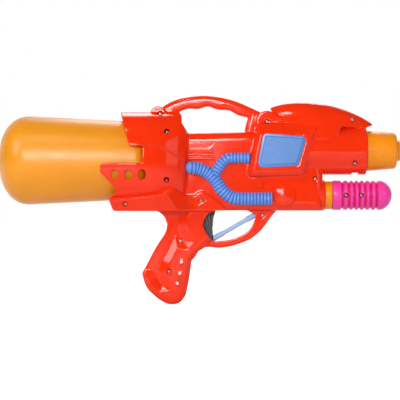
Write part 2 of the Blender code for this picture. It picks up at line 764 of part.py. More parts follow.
def belt_form():
    belt = slab("belt", BELT_SIDE, BELT_REAR_HALF_WIDTH + PAST)
    half = [
        (-130.0, BELT_REAR_HALF_WIDTH, 0.0), (-40.0, BELT_REAR_HALF_WIDTH, 12.0),
        (-11.0, BELT_HALF_WIDTH, 16.0), (50.0, BELT_HALF_WIDTH, 0.0)]
    points = outline(half + [(x, -y, r) for x, y, r in reversed(half)])
    foot = BELT_FOOT_HALF_WIDTH
    wide = BELT_REAR_HALF_WIDTH + 1.0
    section = above([(foot, -2.9), (wide, 22.1), (wide, 34.1), (-wide, 34.1), (-wide, 22.1), (-foot, -2.9)])
    return common(
        belt, prism("belt_plan", points, "Z", BODY_BOTTOM_Z - PAST, BODY_BOTTOM_Z + BARREL_RISE),
        prism("belt_section", section, "X", -140.0, 60.0))


def canopy_form():
    canopy = slab("canopy", CANOPY_SIDE, CANOPY_HALF_WIDTH + PAST)
    wide = CANOPY_HALF_WIDTH
    half = above([
        (6.0, 137.6, 3.0), (14.0, 131.1), (21.0, 118.1), (26.0, 104.1), (wide, 90.1, 0.0), (wide, 74.1, 0.0)])
    section = outline(half + [(-knot[0],) + knot[1:] for knot in reversed(half)])
    half_plan = [(40.0, wide, 0.0), (165.0, wide, 40.0), (214.0, 15.0, 6.0), (219.0, 8.0, 0.0)]
    top = outline(half_plan + [(x, -y, r) for x, y, r in reversed(half_plan)])
    return common(
        canopy, prism("canopy_section", section, "X", 40.0, 240.0),
        prism("canopy_plan", top, "Z", BODY_BOTTOM_Z, DRUM_TOP_Z + PAST))


def grip_form():
    grip = slab("grip", GRIP_SIDE, GRIP_HALF_WIDTH, GRIP_ROUND)
    swell = slab("palm", grown(GRIP_SIDE, FIT), GRIP_HALF_WIDTH + PALM_RISE, GRIP_ROUND + PALM_RISE)
    flare = slab("flare", GRIP_FLARE, GRIP_HALF_WIDTH - GRIP_ROUND / 2.0)
    grip = joined(grip, common(swell, slab("palm_edge", PALM_SIDE, GRIP_HALF_WIDTH + PAST)), flare)
    studs = []
    for x, z in STUDS:
        r = STUD_SIZE / 2.0
        square = [(x - r, z - r, 0.0), (x + r, z - r, 0.0), (x + r, z + r, 0.0), (x - r, z + r, 0.0)]
        studs.append(slab("stud", square, GRIP_HALF_WIDTH + STUD_RISE, 0.6))
    return joined(grip, gathered("studs", studs))


def body_form():
    """The outside of the whole body, with the finger openings, before it is hollowed and split."""
    body = drum_form()
    lower = BODY_BOTTOM_Z + 0.4
    middle = [(-40.0, lower, 0.0), (BODY_FRONT_X, lower, 0.0), (BODY_FRONT_X, BODY_BOTTOM_Z + 44.1, 0.0),
              (140.0, BODY_BOTTOM_Z + 80.1, 0.0),
              (60.0, BODY_TOP_Z + 0.8, 0.0), (-40.0, BODY_TOP_Z - 1.0, 0.0)]
    barrel = turned(
        "barrel",
        [(70.0, 0.0), (70.0, BARREL_RADIUS), (BARREL_FRONT_X - 1.5, BARREL_RADIUS),
         (BARREL_FRONT_X, BARREL_RADIUS - 1.5), (BARREL_FRONT_X, 0.0)], BARREL_AXIS_Z)
    housing = turned(
        "housing",
        [(60.0, 0.0), (60.0, HOUSING_RADIUS), (HOUSING_FRONT_X - 1.0, HOUSING_RADIUS),
         (HOUSING_FRONT_X, HOUSING_RADIUS - 1.0), (HOUSING_FRONT_X, 0.0)], PUMP_AXIS_Z)
    body = joined(
        body,
        slab("middle", middle, BODY_HALF_WIDTH, BODY_ROUND),
        belt_form(),
        slab("frame", FRAME_SIDE, FRAME_HALF_WIDTH, FRAME_CHAMFER),
        barrel,
        housing,
        canopy_form(),
        slab("handle", HANDLE_SIDE, HANDLE_HALF_WIDTH, HANDLE_ROUND),
        cylinder(
            "rear_lug", "Y", REAR_LUG, -REAR_LUG_HALF_WIDTH, REAR_LUG_HALF_WIDTH, REAR_LUG_RADIUS, ROD_TURN),
        cylinder(
            "front_lug", "Y", FRONT_LUG, -FRONT_LUG_HALF_WIDTH, FRONT_LUG_HALF_WIDTH, FRONT_LUG_RADIUS,
            FULL_TURN),
        grip_form(),
        slab("guard", GUARD_SIDE, GUARD_HALF_WIDTH, GUARD_ROUND),
        slab("tab", TAB_SIDE, BODY_HALF_WIDTH + TAB_RISE, 0.5),
    )
    reach = BODY_HALF_WIDTH + DISC_RISE
    body = joined(body, cylinder("disc", "Y", DISC_CENTRE, -reach, reach, DISC_RADIUS, FULL_TURN))
    ridges = []
    for z in RIDGES_Z:
        for side in (-1.0, 1.0):
            ridges.append(cylinder(
                "ridge", "X", (side * (BODY_HALF_WIDTH - 0.2), z), RIDGE_REAR_X, RIDGE_REAR_X + RIDGE_LENGTH,
                RIDGE_RADIUS, 8))
    body = joined(body, gathered("ridges", ridges))
    bottom = BARREL_AXIS_Z - BARREL_RADIUS
    notch = block(
        "notch", (NOTCH_X[0], -NOTCH_HALF_WIDTH, bottom - 5.0),
        (NOTCH_X[1], NOTCH_HALF_WIDTH, bottom + NOTCH_DEPTH))
    return cut(body, slab("finger_gap", FINGER_SIDE, BODY_HALF_WIDTH + PAST), notch)


def hollow(body):
    """Cuts the rooms and seats for everything that the shells hold."""
    drum_room = prism(
        "drum_room",
        oval(DRUM_HALF_WIDTH - DRUM_WALL, DRUM_HALF_HEIGHT - DRUM_WALL, DRUM_MIDDLE_Z, DRUM_POWER),
        "X", -140.0, BULKHEAD_X)
    socket_hole = cylinder(
        "socket_hole", "X", (0.0, TANK_AXIS_Z), BULKHEAD_X - 1.0, BULKHEAD_FRONT_X + 1.0, SOCKET_RADIUS + FIT,
        ROD_TURN)
    socket_room = cylinder(
        "socket_room", "X", (0.0, TANK_AXIS_Z), BULKHEAD_FRONT_X, -34.0, SOCKET_RADIUS + SOCKET_FLANGE + FIT,
        ROD_TURN)
    barrel_room = cylinder(
        "barrel_room", "X", (0.0, BARREL_AXIS_Z), SHANK_REAR_X + 10.0, BARREL_FRONT_X + 5.0, BARREL_BORE,
        FULL_TURN)
    shank_hole = cylinder(
        "shank_hole", "X", (0.0, BARREL_AXIS_Z), 110.0, SHANK_REAR_X + 12.0, SHANK_RADIUS + FIT, ROD_TURN)
    pump_bore = cylinder(
        "pump_bore", "X", (0.0, PUMP_AXIS_Z), CYLINDER_REAR_X - 4.0, HOUSING_FRONT_X + 5.0,
        CYLINDER_RADIUS + FIT, ROD_TURN)
    slot = slab("trigger_slot", TRIGGER_SLOT, TRIGGER_HALF_WIDTH + FIT * 2.0)
    body = cut(
        body, drum_room, socket_hole, socket_room,
        slab("body_room", BODY_HOLLOW, INNER_HALF_WIDTH, 5.0),
        slab("frame_room", FRAME_HOLLOW, FRAME_HALF_WIDTH - PANEL_THICKNESS - BODY_WALL, 4.0),
        shank_hole, barrel_room, pump_bore,
        slab("grip_room", GRIP_HOLLOW, GRIP_HALF_WIDTH - GRIP_WALL), slot)
    holes = []
    for x, z in FLAP_HOLES:
        ring = []
        for i in range(round(FLAP_HOLE_TURN)):
            a = 2.0 * math.pi * i / FLAP_HOLE_TURN
            ring.append((x + FLAP_HOLE_WIDTH / 2.0 * math.cos(a), z + FLAP_HOLE_HEIGHT / 2.0 * math.sin(a)))
        for side in (-1.0, 1.0):
            inside = DRUM_HALF_WIDTH - PAST * 0.5
            near = min(side * inside, side * (inside + PAST))
            holes.append(prism("flap_hole", ring, "Y", near, near + PAST))
    body = cut(body, gathered("flap_holes", holes))
    strap_seat = tube("strap_seat", strap_points()[-3:], STRAP_END_RADIUS + FIT)
    pin_seat = cylinder("pin_seat", "Y", TRIGGER_PIVOT, -PIN_END - FIT, PIN_END + FIT, PIN_RADIUS + FIT)
    return cut(body, strap_seat, pin_seat)


def strap_points():
    return [Vector((p.x, 0.0, p.y)) for p in route(STRAP_ROUTE, 5.0)]


def hose_solid(name, extra):
    """The corrugated Y on the left side, standing on a flat back a little below the body's surface."""
    depth = BODY_HALF_WIDTH
    parts = []
    for knots, radius in ((HOSE_MAIN, HOSE_RADIUS), (HOSE_BRANCH, BRANCH_RADIUS)):
        places = route(knots, HOSE_PITCH if extra else HOSE_PITCH / 2.0)
        points = [Vector((p.x, -depth, p.y)) for p in places]
        radii = [1.0 - (HOSE_GROOVE if i % 2 and not extra else 0.0) for i in range(len(points))]
        start = (points[0] - points[1]).normalized() * extra
        end = (points[-1] - points[-2]).normalized() * extra
        points[0] = points[0] + start
        points[-1] = points[-1] + end
        parts.append(tube(name, points, radius + extra, radii, 2))
    ring = []
    for i in range(round(ROD_TURN)):
        a = 2.0 * math.pi * i / ROD_TURN
        reach = HOSE_KNOB_RADIUS + extra
        ring.append((HOSE_KNOB[0] + reach * math.cos(a), HOSE_KNOB[1] + reach * math.sin(a)))
    edge = 0.0 if extra else 3.0
    knob = prism(name, ring, "Y", -depth - HOSE_KNOB_RISE - extra * 20.0, -depth + 8.0, edge)
    whole = joined(parts[0], parts[1], knob)
    back = depth - HOSE_SUNK - extra
    return cut(whole, block("back", (-FAR, -back, BODY_BOTTOM_Z - PAST), (FAR, PAST, DRUM_TOP_Z)))


def window_solid():
    outer = FRAME_HALF_WIDTH + PANEL_PROUD
    return prism("window", outline(WINDOW_SIDE), "Y", -outer, -outer + PANEL_THICKNESS, PANEL_ROUND)


def grown(knots, by):
    """An outline moved outwards by a clearance, corner by corner."""
    places = [Vector(knot[:2]) for knot in knots]
    count = len(places)
    area = sum(places[i - 1].x * places[i].y - places[i].x * places[i - 1].y for i in range(count))
    by = -by if area > 0 else by
    made = []
    for i, knot in enumerate(knots):
        into = (places[i] - places[i - 1]).normalized()
        away = (places[(i + 1) % count] - places[i]).normalized()
        normal = Vector((-into.y - away.y, into.x + away.x)).normalized()
        stretch = max(0.3, normal.dot(Vector((-into.y, into.x))))
        place = places[i] + normal * (by / stretch)
        made.append((place.x, place.y) + tuple(knot[2:]))
    return made


def side_half(body, side, name):
    """One side of the body, stopped half a seam short of the parting plane."""
    gap = SEAM / 2.0
    if side < 0:
        wall = block("half", (-FAR, -gap, -FAR), (FAR, FAR, FAR))
    else:
        wall = block("half", (-FAR, -FAR, -FAR), (FAR, gap, FAR))
    return cut(copied(body, name), wall)


def shells():
    body = hollow(body_form())
    bosses = [
        cylinder("boss", "Y", (x, z), -seat - 1.0, seat + 1.0, BOSS_RADIUS, SCREW_TURN)
        for x, z, seat in SHELL_SCREWS]
    body = joined(body, gathered("bosses", bosses))
    left = side_half(body, -1, "left")
    bpy.data.objects.remove(body, do_unlink=True)
    pocket = prism(
        "window_seat", outline(grown(WINDOW_SIDE, FIT)), "Y", -FRAME_HALF_WIDTH - PAST,
        -FRAME_HALF_WIDTH - PANEL_PROUD + PANEL_THICKNESS + FIT)
    left = cut(left, pocket, hose_solid("hose_seat", FIT))
    right = mirrored(left, "right")
    rooms = [screw_room(x, z, seat) for x, z, seat in SHELL_SCREWS]
    pilots = [pilot(x, z) for x, z, seat in SHELL_SCREWS]
    return cut(left, gathered("rooms", rooms)), cut(right, gathered("pilots", pilots))


def screw_room(x, z, seat):
    """A deep round recess for a screw's head, with the hole for its shank."""
    recess = cylinder("recess", "Y", (x, z), -DRUM_HALF_WIDTH - PAST, -seat, HEAD_RADIUS + FIT, SCREW_TURN)
    return joined(recess, cylinder("clear_hole", "Y", (x, z), -seat - 1.0, 1.0, SHANK + FIT, SCREW_TURN))


def pilot(x, z):
    """The hole in the right half that a screw bites into."""
    return cylinder("pilot", "Y", (x, z), -1.0, SCREW_PAST_SEAM + FIT, SHANK + FIT, SCREW_TURN)


def screw_solid(name, x, z, seat, past):
    """A pan-head screw lying along Y, its head against a seat on the left side."""
    shank = cylinder(name, "Y", (x, z), -seat - FIT - HEAD_HEIGHT * 0.5, past, SHANK, SCREW_TURN)
    head = cylinder(name, "Y", (x, z), -seat - FIT - HEAD_HEIGHT, -seat - FIT, HEAD_RADIUS, SCREW_TURN)
    return joined(head, shank)


def tank():
    side = TANK_RADIUS - (TANK_SHOULDER_X - TANK_SHOULDER_ROUND - TANK_BACK_X - TANK_DOME) * TANK_DRAFT
    outer = []
    for i in range(9):
        a = math.pi / 2 * i / 8
        x = TANK_BACK_X + TANK_DOME * (1.0 - math.cos(a) ** (2.0 / TANK_DOME_POWER))
        outer.append((x, TANK_RADIUS * math.sin(a) ** (2.0 / TANK_DOME_POWER)))
    for i in range(4):
        a = math.pi / 2 * i / 3
        outer.append((
            TANK_SHOULDER_X - TANK_SHOULDER_ROUND * (1.0 - math.sin(a)),
            side - TANK_SHOULDER_ROUND * (1.0 - math.cos(a))))
    outer += [(NECK_ROOT_X - 1.5, NECK_RADIUS + 2.0), (NECK_ROOT_X, NECK_RADIUS), (NECK_END_X, NECK_RADIUS)]
    inner = [(NECK_END_X, NECK_RADIUS - NECK_WALL), (NECK_ROOT_X - 4.0, NECK_RADIUS - NECK_WALL)]
    for i in (2, 1, 0):
        a = math.pi / 2 * i / 2
        inner.append((
            TANK_SHOULDER_X - TANK_WALL - TANK_SHOULDER_ROUND * (1.0 - math.sin(a)),
            side - TANK_WALL - TANK_SHOULDER_ROUND * (1.0 - math.cos(a))))
    for i in range(4, -1, -1):
        a = math.pi / 2 * i / 4
        x = TANK_BACK_X + TANK_WALL + TANK_DOME * (1.0 - math.cos(a) ** (2.0 / TANK_DOME_POWER))
        inner.append((x, (TANK_RADIUS - TANK_WALL) * math.sin(a) ** (2.0 / TANK_DOME_POWER)))
    return turned("tank", outer + inner, TANK_AXIS_Z)


def tank_seal():
    rear = NECK_END_X + FIT
    return turned(
        "seal", [(rear, SEAL_BORE), (rear, NECK_RADIUS), (SEAL_END_X, NECK_RADIUS), (SEAL_END_X, SEAL_BORE)],
        TANK_AXIS_Z, ROD_TURN, True)


def tank_socket():
    bore = NECK_RADIUS + RUNNING_FIT
    rim = NECK_ROOT_X + 2.5
    flange = BULKHEAD_FRONT_X + FIT
    cup = turned(
        "socket",
        [(SOCKET_FLOOR_X, 0.0), (SOCKET_FLOOR_X, bore), (rim, bore), (rim, SOCKET_RADIUS),
         (flange, SOCKET_RADIUS), (flange, SOCKET_RADIUS + SOCKET_FLANGE),
         (flange + FLANGE_THICKNESS, SOCKET_RADIUS + SOCKET_FLANGE),
         (flange + FLANGE_THICKNESS, SOCKET_RADIUS), (SOCKET_END_X, SOCKET_RADIUS), (SOCKET_END_X, 0.0)],
        TANK_AXIS_Z, ROD_TURN)
    ports = [
        cylinder("port", "X", place, SOCKET_END_X - 1.0, NIPPLE_END_X, NIPPLE_RADIUS, SCREW_TURN)
        for place in ((0.0, TANK_AXIS_Z), (AIR_PORT_Y, TANK_AXIS_Z + AIR_PORT_RISE))]
    return joined(cup, gathered("ports", ports))


def line(name, start, knots, end, radius):
    points = route([start] + knots + [end], radius * 2.4)
    return tube(name, points, radius)


def nozzle_barrel():
    base = BARREL_FRONT_X + FIT
    spigot = BARREL_BORE - FIT
    rear = BARREL_FRONT_X - SPIGOT_LENGTH
    pocket = TIP_FRONT_X - TIP_LENGTH - FIT
    round_x = NOZZLE_FACE_X - NOZZLE_ROUND
    profile = [
        (SHANK_REAR_X - NIPPLE_LENGTH, WATER_BORE), (SHANK_REAR_X - NIPPLE_LENGTH, NIPPLE_RADIUS),
        (SHANK_REAR_X, NIPPLE_RADIUS), (SHANK_REAR_X, SHANK_RADIUS), (rear, SHANK_RADIUS), (rear, spigot),
        (base, spigot), (base, NOZZLE_REAR_RADIUS - 0.8), (base + 0.8, NOZZLE_REAR_RADIUS),
        (round_x, NOZZLE_FRONT_RADIUS)]
    for i in range(1, 4):
        a = math.pi / 2 * i / 3
        profile.append((
            round_x + NOZZLE_ROUND * math.sin(a), NOZZLE_FRONT_RADIUS - NOZZLE_ROUND * (1.0 - math.cos(a))))
    profile += [(NOZZLE_FACE_X, TIP_RADIUS + FIT), (pocket, TIP_RADIUS + FIT), (pocket, WATER_BORE)]
    return turned("nozzle", profile, BARREL_AXIS_Z, ROD_TURN, True)


def nozzle_tip():
    rear = TIP_FRONT_X - TIP_LENGTH
    return turned(
        "tip",
        [(rear, JET_RADIUS), (rear, TIP_RADIUS), (TIP_FRONT_X - 1.0, TIP_RADIUS),
         (TIP_FRONT_X, TIP_RADIUS - 1.0), (TIP_FRONT_X, TIP_DISH), (TIP_FRONT_X - 2.5, TIP_DISH - 2.5),
         (TIP_FRONT_X - 2.5, JET_RADIUS)],
        BARREL_AXIS_Z, ROD_TURN, True)


def pump_cylinder():
    floor = CYLINDER_REAR_X + CYLINDER_FLOOR
    return turned(
        "cylinder",
        [(CYLINDER_REAR_X, WATER_BORE), (CYLINDER_REAR_X, CYLINDER_RADIUS),
         (HOUSING_FRONT_X, CYLINDER_RADIUS), (HOUSING_FRONT_X, CYLINDER_BORE), (floor, CYLINDER_BORE),
         (floor, WATER_BORE)],
        PUMP_AXIS_Z, ROD_TURN, True)


def pump_end_cap():
    bore = ROD_RADIUS + RUNNING_FIT
    front = CAP_REAR_X + CAP_LENGTH
    spigot = CYLINDER_BORE - FIT
    return turned(
        "cap",
        [(HOUSING_FRONT_X - CAP_SPIGOT, bore), (HOUSING_FRONT_X - CAP_SPIGOT, spigot), (CAP_REAR_X, spigot),
         (CAP_REAR_X, CAP_RADIUS), (front - 1.2, CAP_RADIUS), (front, CAP_RADIUS - 1.2), (front, bore)],
        PUMP_AXIS_Z, ROD_TURN, True)


def piston():
    groove = PISTON_REAR_X + (PISTON_LENGTH - PISTON_GROOVE) / 2.0
    floor = PISTON_RADIUS - PISTON_GROOVE_DEPTH
    front = PISTON_REAR_X + PISTON_LENGTH
    return turned(
        "piston",
        [(PISTON_REAR_X, 0.0), (PISTON_REAR_X, PISTON_RADIUS), (groove, PISTON_RADIUS), (groove, floor),
         (groove + PISTON_GROOVE, floor), (groove + PISTON_GROOVE, PISTON_RADIUS), (front, PISTON_RADIUS),
         (front, 0.0)], PUMP_AXIS_Z, ROD_TURN)


def piston_ring():
    rear = PISTON_REAR_X + (PISTON_LENGTH - PISTON_GROOVE) / 2.0 + FIT
    front = rear + PISTON_GROOVE - 2.0 * FIT
    low = PISTON_RADIUS - PISTON_GROOVE_DEPTH + FIT
    high = PISTON_RADIUS + RUNNING_FIT / 2.0
    middle = (rear + front) / 2.0
    return turned(
        "ring", [(rear, low), (rear, high - 1.0), (middle, high), (front, high - 1.0), (front, low)],
        PUMP_AXIS_Z, ROD_TURN, True)


def pump_rod():
    rear = PISTON_REAR_X + PISTON_LENGTH + FIT
    front = PUMP_GRIP_FRONT_X - PUMP_GRIP_WALL - 4.0
    rod = cylinder("rod", "X", (0.0, PUMP_AXIS_Z), rear, front, ROD_RADIUS, SMALL_TURN)
    for x in PUMP_SCREWS_X:
        rod = cut(rod, cylinder("hole", "Y", (x, PUMP_AXIS_Z), -20.0, 20.0, SHANK + FIT, SCREW_TURN))
    return rod


def pump_grip_half():
    """The left half of the ribbed pump handle."""
    radius = PUMP_GRIP_RADIUS
    rear = PUMP_GRIP_REAR_X
    dome_x = PUMP_GRIP_FRONT_X - PUMP_GRIP_DOME
    pitch = (dome_x - rear - PUMP_GRIP_BAND) / PUMP_GRIP_RIBS
    profile = [(rear, 0.0), (rear, radius - 1.0), (rear + 1.0, radius)]
    for i in range(PUMP_GRIP_RIBS + 1):
        x = rear + PUMP_GRIP_BAND + i * pitch
        profile += [(x - PUMP_GROOVE_WIDTH / 2.0, radius), (x, radius - PUMP_GROOVE_DEPTH),
                    (x + PUMP_GROOVE_WIDTH / 2.0, radius)]
    start = dome_x + PUMP_GROOVE_WIDTH / 2.0
    for i in range(1, 6):
        a = math.pi / 2 * i / 5
        profile.append((start + (PUMP_GRIP_FRONT_X - start) * math.sin(a), radius * math.cos(a)))
    whole = turned("pump_grip", profile, PUMP_AXIS_Z, ROD_TURN)
    room = cylinder(
        "room", "X", (0.0, PUMP_AXIS_Z), rear + PUMP_GRIP_WALL, dome_x, radius - PUMP_GROOVE_DEPTH - 2.4, 24)
    rod_seat = cylinder(
        "rod_seat", "X", (0.0, PUMP_AXIS_Z), rear - 2.0, PUMP_GRIP_FRONT_X - PUMP_GRIP_WALL - 4.0 + FIT,
        ROD_RADIUS + FIT, SMALL_TURN)
    whole = cut(whole, room)
    posts = [
        cylinder("post", "Y", (x, PUMP_AXIS_Z), -15.5, 15.5, BOSS_RADIUS, SCREW_TURN) for x in PUMP_SCREWS_X]
    whole = joined(whole, gathered("posts", posts))
    return side_half(cut(whole, rod_seat), -1, "grip_half")


def pump_grip_halves():
    left = pump_grip_half()
    right = mirrored(left, "grip_right")
    rooms = [screw_room(x, PUMP_AXIS_Z, PUMP_SCREW_SEAT) for x in PUMP_SCREWS_X]
    pilots = [pilot(x, PUMP_AXIS_Z) for x in PUMP_SCREWS_X]
    return cut(left, gathered("rooms", rooms)), cut(right, gathered("pilots", pilots))


def check_valve():
    body = turned(
        "check",
        [(CHECK_VALVE_X, 0.0), (CHECK_VALVE_X, CHECK_VALVE_RADIUS - 1.5),
         (CHECK_VALVE_X + 1.5, CHECK_VALVE_RADIUS), (CYLINDER_REAR_X - FIT, CHECK_VALVE_RADIUS),
         (CYLINDER_REAR_X - FIT, 0.0)], PUMP_AXIS_Z, SMALL_TURN)
    x = CHECK_VALVE_X + VALVE_LENGTH / 2.0
    top = PUMP_AXIS_Z + CHECK_VALVE_RADIUS
    return joined(body, cylinder("port", "Z", (x, 0.0), top - 4.0, top + 4.0, NIPPLE_RADIUS))


def valve_block():
    low = (VALVE_REAR_X, -VALVE_HALF_WIDTH, VALVE_Z - VALVE_HALF_HEIGHT)
    high = (VALVE_FRONT_X, VALVE_HALF_WIDTH, VALVE_TOP_Z)
    body = block("valve", low, high)
    peg = INNER_HALF_WIDTH - FIT
    body = joined(
        body,
        cylinder("peg", "Y", (3.0, VALVE_Z + 3.0), -peg, peg, 3.0),
        cylinder("inlet", "Z", (INLET_X, 0.0), VALVE_TOP_Z - 1.0, VALVE_TOP_Z + NIPPLE_LENGTH, NIPPLE_RADIUS),
        cylinder(
            "outlet", "Z", (OUTLET_X, 0.0), VALVE_TOP_Z - 1.0, VALVE_TOP_Z + NIPPLE_LENGTH, NIPPLE_RADIUS))
    return cut(body, cylinder(
        "stem_bore", "X", (0.0, VALVE_Z), VALVE_FRONT_X - STEM_DEPTH - 1.0, VALVE_FRONT_X + 2.0,
        STEM_RADIUS + FIT, SCREW_TURN))


def valve_plunger():
    stem = cylinder(
        "stem", "X", (0.0, VALVE_Z), VALVE_FRONT_X - STEM_DEPTH, COLLAR_X + 1.0, STEM_RADIUS, SCREW_TURN)
    return joined(stem, cylinder(
        "collar", "X", (0.0, VALVE_Z), COLLAR_X, COLLAR_X + COLLAR_THICKNESS, COLLAR_RADIUS))


def trigger():
    x, z = TRIGGER_PIVOT
    blade = slab(
        "blade",
        [(x + knot[0], z + knot[1], *knot[2:]) for knot in TRIGGER_BLADE], TRIGGER_HALF_WIDTH, TRIGGER_EDGE)
    hub = cylinder("hub", "Y", TRIGGER_PIVOT, -TRIGGER_HALF_WIDTH, TRIGGER_HALF_WIDTH, TRIGGER_HUB, 16)
    arm_r = TRIGGER_ARM_RADIUS
    arm = slab(
        "arm", [(x - arm_r, z, 0.0), (x + arm_r, z, 0.0), (x + arm_r, z + TRIGGER_ARM, 0.0),
                (x - arm_r, z + TRIGGER_ARM, 0.0)], TRIGGER_HALF_WIDTH)
    nose = cylinder(
        "nose", "Y", (x, z + TRIGGER_ARM), -TRIGGER_HALF_WIDTH, TRIGGER_HALF_WIDTH, arm_r - 0.02, 16)
    made = joined(blade, hub, arm, nose)
    tip = z + TRIGGER_ARM
    fork = block("fork", (x - 10.0, -FORK_HALF_GAP, tip - 5.0), (x + 10.0, FORK_HALF_GAP, tip + 10.0))
    pin_hole = cylinder("pin_hole", "Y", TRIGGER_PIVOT, -20.0, 20.0, PIN_RADIUS + FIT, SMALL_TURN)
    eye = tube("eye", strap_points()[:3], STRAP_END_RADIUS + FIT)
    return cut(made, fork, pin_hole, eye)


def return_strap():
    points = strap_points()
    last = len(points) - 1
    thin = STRAP_MIDDLE_RADIUS / STRAP_END_RADIUS
    radii = []
    for i in range(len(points)):
        share = min(1.0, max(0.0, (min(i, last - i) / last - 0.14) / 0.16))
        radii.append(1.0 + (thin - 1.0) * share)
    return tube("strap", points, STRAP_END_RADIUS, radii)


def build():
    left, right = shells()
    piece(left, "left_shell", RED)
    piece(right, "right_shell", RED)
    hose = hose_solid("hose", 0.0)
    piece(mirrored(hose, "hose_mirror"), "hose_inlay_right", BLUE)
    piece(hose, "hose_inlay_left", BLUE)
    window = window_solid()
    piece(mirrored(window, "window_mirror"), "window_right", GLASS_BLUE)
    piece(window, "window_left", GLASS_BLUE)
    for number, (x, z, seat) in enumerate(SHELL_SCREWS, 1):
        piece(screw_solid("screw", x, z, seat, SCREW_PAST_SEAM), f"shell_screw_{number}", STEEL)
    piece(nozzle_barrel(), "nozzle_barrel", YELLOW)
    piece(nozzle_tip(), "nozzle_tip", YELLOW)
    piece(pump_cylinder(), "pump_cylinder", WHITE)
    piece(pump_end_cap(), "pump_end_cap", YELLOW)
    piece(check_valve(), "check_valve", WHITE)
    piece(tank_socket(), "tank_socket", WHITE)
    piece(valve_block(), "valve_block", WHITE)
    pin = cylinder("pin", "Y", TRIGGER_PIVOT, -PIN_END, PIN_END, PIN_RADIUS)
    piece(pin, "trigger_pin", STEEL)

    port_top = PUMP_AXIS_Z + CHECK_VALVE_RADIUS + 4.0 + FIT
    valve_top = VALVE_TOP_Z + NIPPLE_LENGTH + FIT
    port_x = NIPPLE_END_X + FIT
    feed = line(
        "feed", (port_x, 0.0, TANK_AXIS_Z), FEED_ROUTE, (INLET_X, 0.0, valve_top), HOSE_LINE_RADIUS)
    piece(feed, "feed_hose", CLEAR)
    delivery = line(
        "delivery", (OUTLET_X, 0.0, valve_top), DELIVERY_ROUTE,
        (SHANK_REAR_X - NIPPLE_LENGTH - FIT, 0.0, BARREL_AXIS_Z), HOSE_LINE_RADIUS)
    piece(delivery, "delivery_hose", CLEAR)
    air = line(
        "air", (CHECK_VALVE_X + VALVE_LENGTH / 2.0, 0.0, port_top), AIR_ROUTE,
        (port_x, AIR_PORT_Y, TANK_AXIS_Z + AIR_PORT_RISE), HOSE_LINE_RADIUS)
    piece(air, "air_hose", CLEAR)
    pickup = route(
        [(SOCKET_FLOOR_X - FIT, 0.0, TANK_AXIS_Z - PICKUP_DROP)] + PICKUP_ROUTE, 12.0)
    piece(tube("pickup", pickup, PICKUP_RADIUS), "pickup_tube", CLEAR)
    piece(return_strap(), "return_strap", STRAP_BLUE)

    tank_turn = pivot("tank_turn", (NECK_ROOT_X, 0.0, TANK_AXIS_Z))
    piece(tank(), "water_tank", AMBER, tank_turn)
    piece(tank_seal(), "tank_seal", RUBBER, tank_turn)
    pull = pivot("trigger_pull", (TRIGGER_PIVOT[0], 0.0, TRIGGER_PIVOT[1]))
    piece(trigger(), "trigger", GREY, pull)
    stroke = pivot("plunger_stroke", (COLLAR_X, 0.0, VALVE_Z))
    piece(valve_plunger(), "valve_plunger", WHITE, stroke)
    slide = pivot("pump_stroke", (PUMP_GRIP_REAR_X, 0.0, PUMP_AXIS_Z))
    grip_left, grip_right = pump_grip_halves()
    piece(grip_left, "pump_grip_left", PINK, slide)
    piece(grip_right, "pump_grip_right", PINK, slide)
    for number, x in enumerate(PUMP_SCREWS_X, 1):
        screw = screw_solid("screw", x, PUMP_AXIS_Z, PUMP_SCREW_SEAT, SCREW_PAST_SEAM)
        piece(screw, f"pump_grip_screw_{number}", STEEL, slide)
    piece(pump_rod(), "pump_rod", WHITE, slide)
    piece(piston(), "piston", WHITE, slide)
    piece(piston_ring(), "piston_ring", RUBBER, slide)


build()
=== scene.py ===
# %% [markdown]
# # A pump-action toy water squirter
#
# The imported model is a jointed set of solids: the right sizes, but with coarse facets and plain paint. This
# notebook dresses it. Each visible moulding is modelled again with smooth forms, rounded edges and its own
# finish, and rides on the body of the model that it belongs to, so that the pump still slides, the tank
# still screws off and the trigger still swings.
#
# The squirter lies along X with its muzzle at +X, Z is up, and Y = 0 is the seam between the two body
# halves.

# %% Load the jointed model
import math

import bmesh
import bpy
from mathutils import Matrix, Vector


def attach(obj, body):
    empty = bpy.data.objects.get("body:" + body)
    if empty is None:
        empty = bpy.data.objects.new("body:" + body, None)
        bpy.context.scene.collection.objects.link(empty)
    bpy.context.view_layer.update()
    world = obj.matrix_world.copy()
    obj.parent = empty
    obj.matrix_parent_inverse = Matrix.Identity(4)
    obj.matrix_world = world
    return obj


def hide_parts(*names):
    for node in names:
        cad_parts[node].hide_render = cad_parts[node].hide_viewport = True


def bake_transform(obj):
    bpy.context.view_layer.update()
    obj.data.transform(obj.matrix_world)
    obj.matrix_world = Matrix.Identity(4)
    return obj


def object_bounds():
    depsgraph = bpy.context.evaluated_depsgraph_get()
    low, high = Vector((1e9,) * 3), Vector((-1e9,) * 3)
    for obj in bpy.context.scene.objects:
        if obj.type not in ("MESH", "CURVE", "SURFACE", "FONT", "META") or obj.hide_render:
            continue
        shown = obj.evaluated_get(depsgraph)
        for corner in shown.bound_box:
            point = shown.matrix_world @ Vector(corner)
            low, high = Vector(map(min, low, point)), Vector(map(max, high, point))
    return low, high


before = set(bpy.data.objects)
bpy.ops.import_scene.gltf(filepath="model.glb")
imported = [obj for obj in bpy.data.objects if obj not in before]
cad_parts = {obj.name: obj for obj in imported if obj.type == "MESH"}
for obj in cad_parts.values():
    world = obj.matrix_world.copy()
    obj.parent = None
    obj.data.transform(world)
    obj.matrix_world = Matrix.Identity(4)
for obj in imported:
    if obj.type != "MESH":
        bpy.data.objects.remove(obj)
MM = 0.001
cad_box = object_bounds()
print("solids", len(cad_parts), "size", [round(v, 4) for v in cad_box[1] - cad_box[0]])

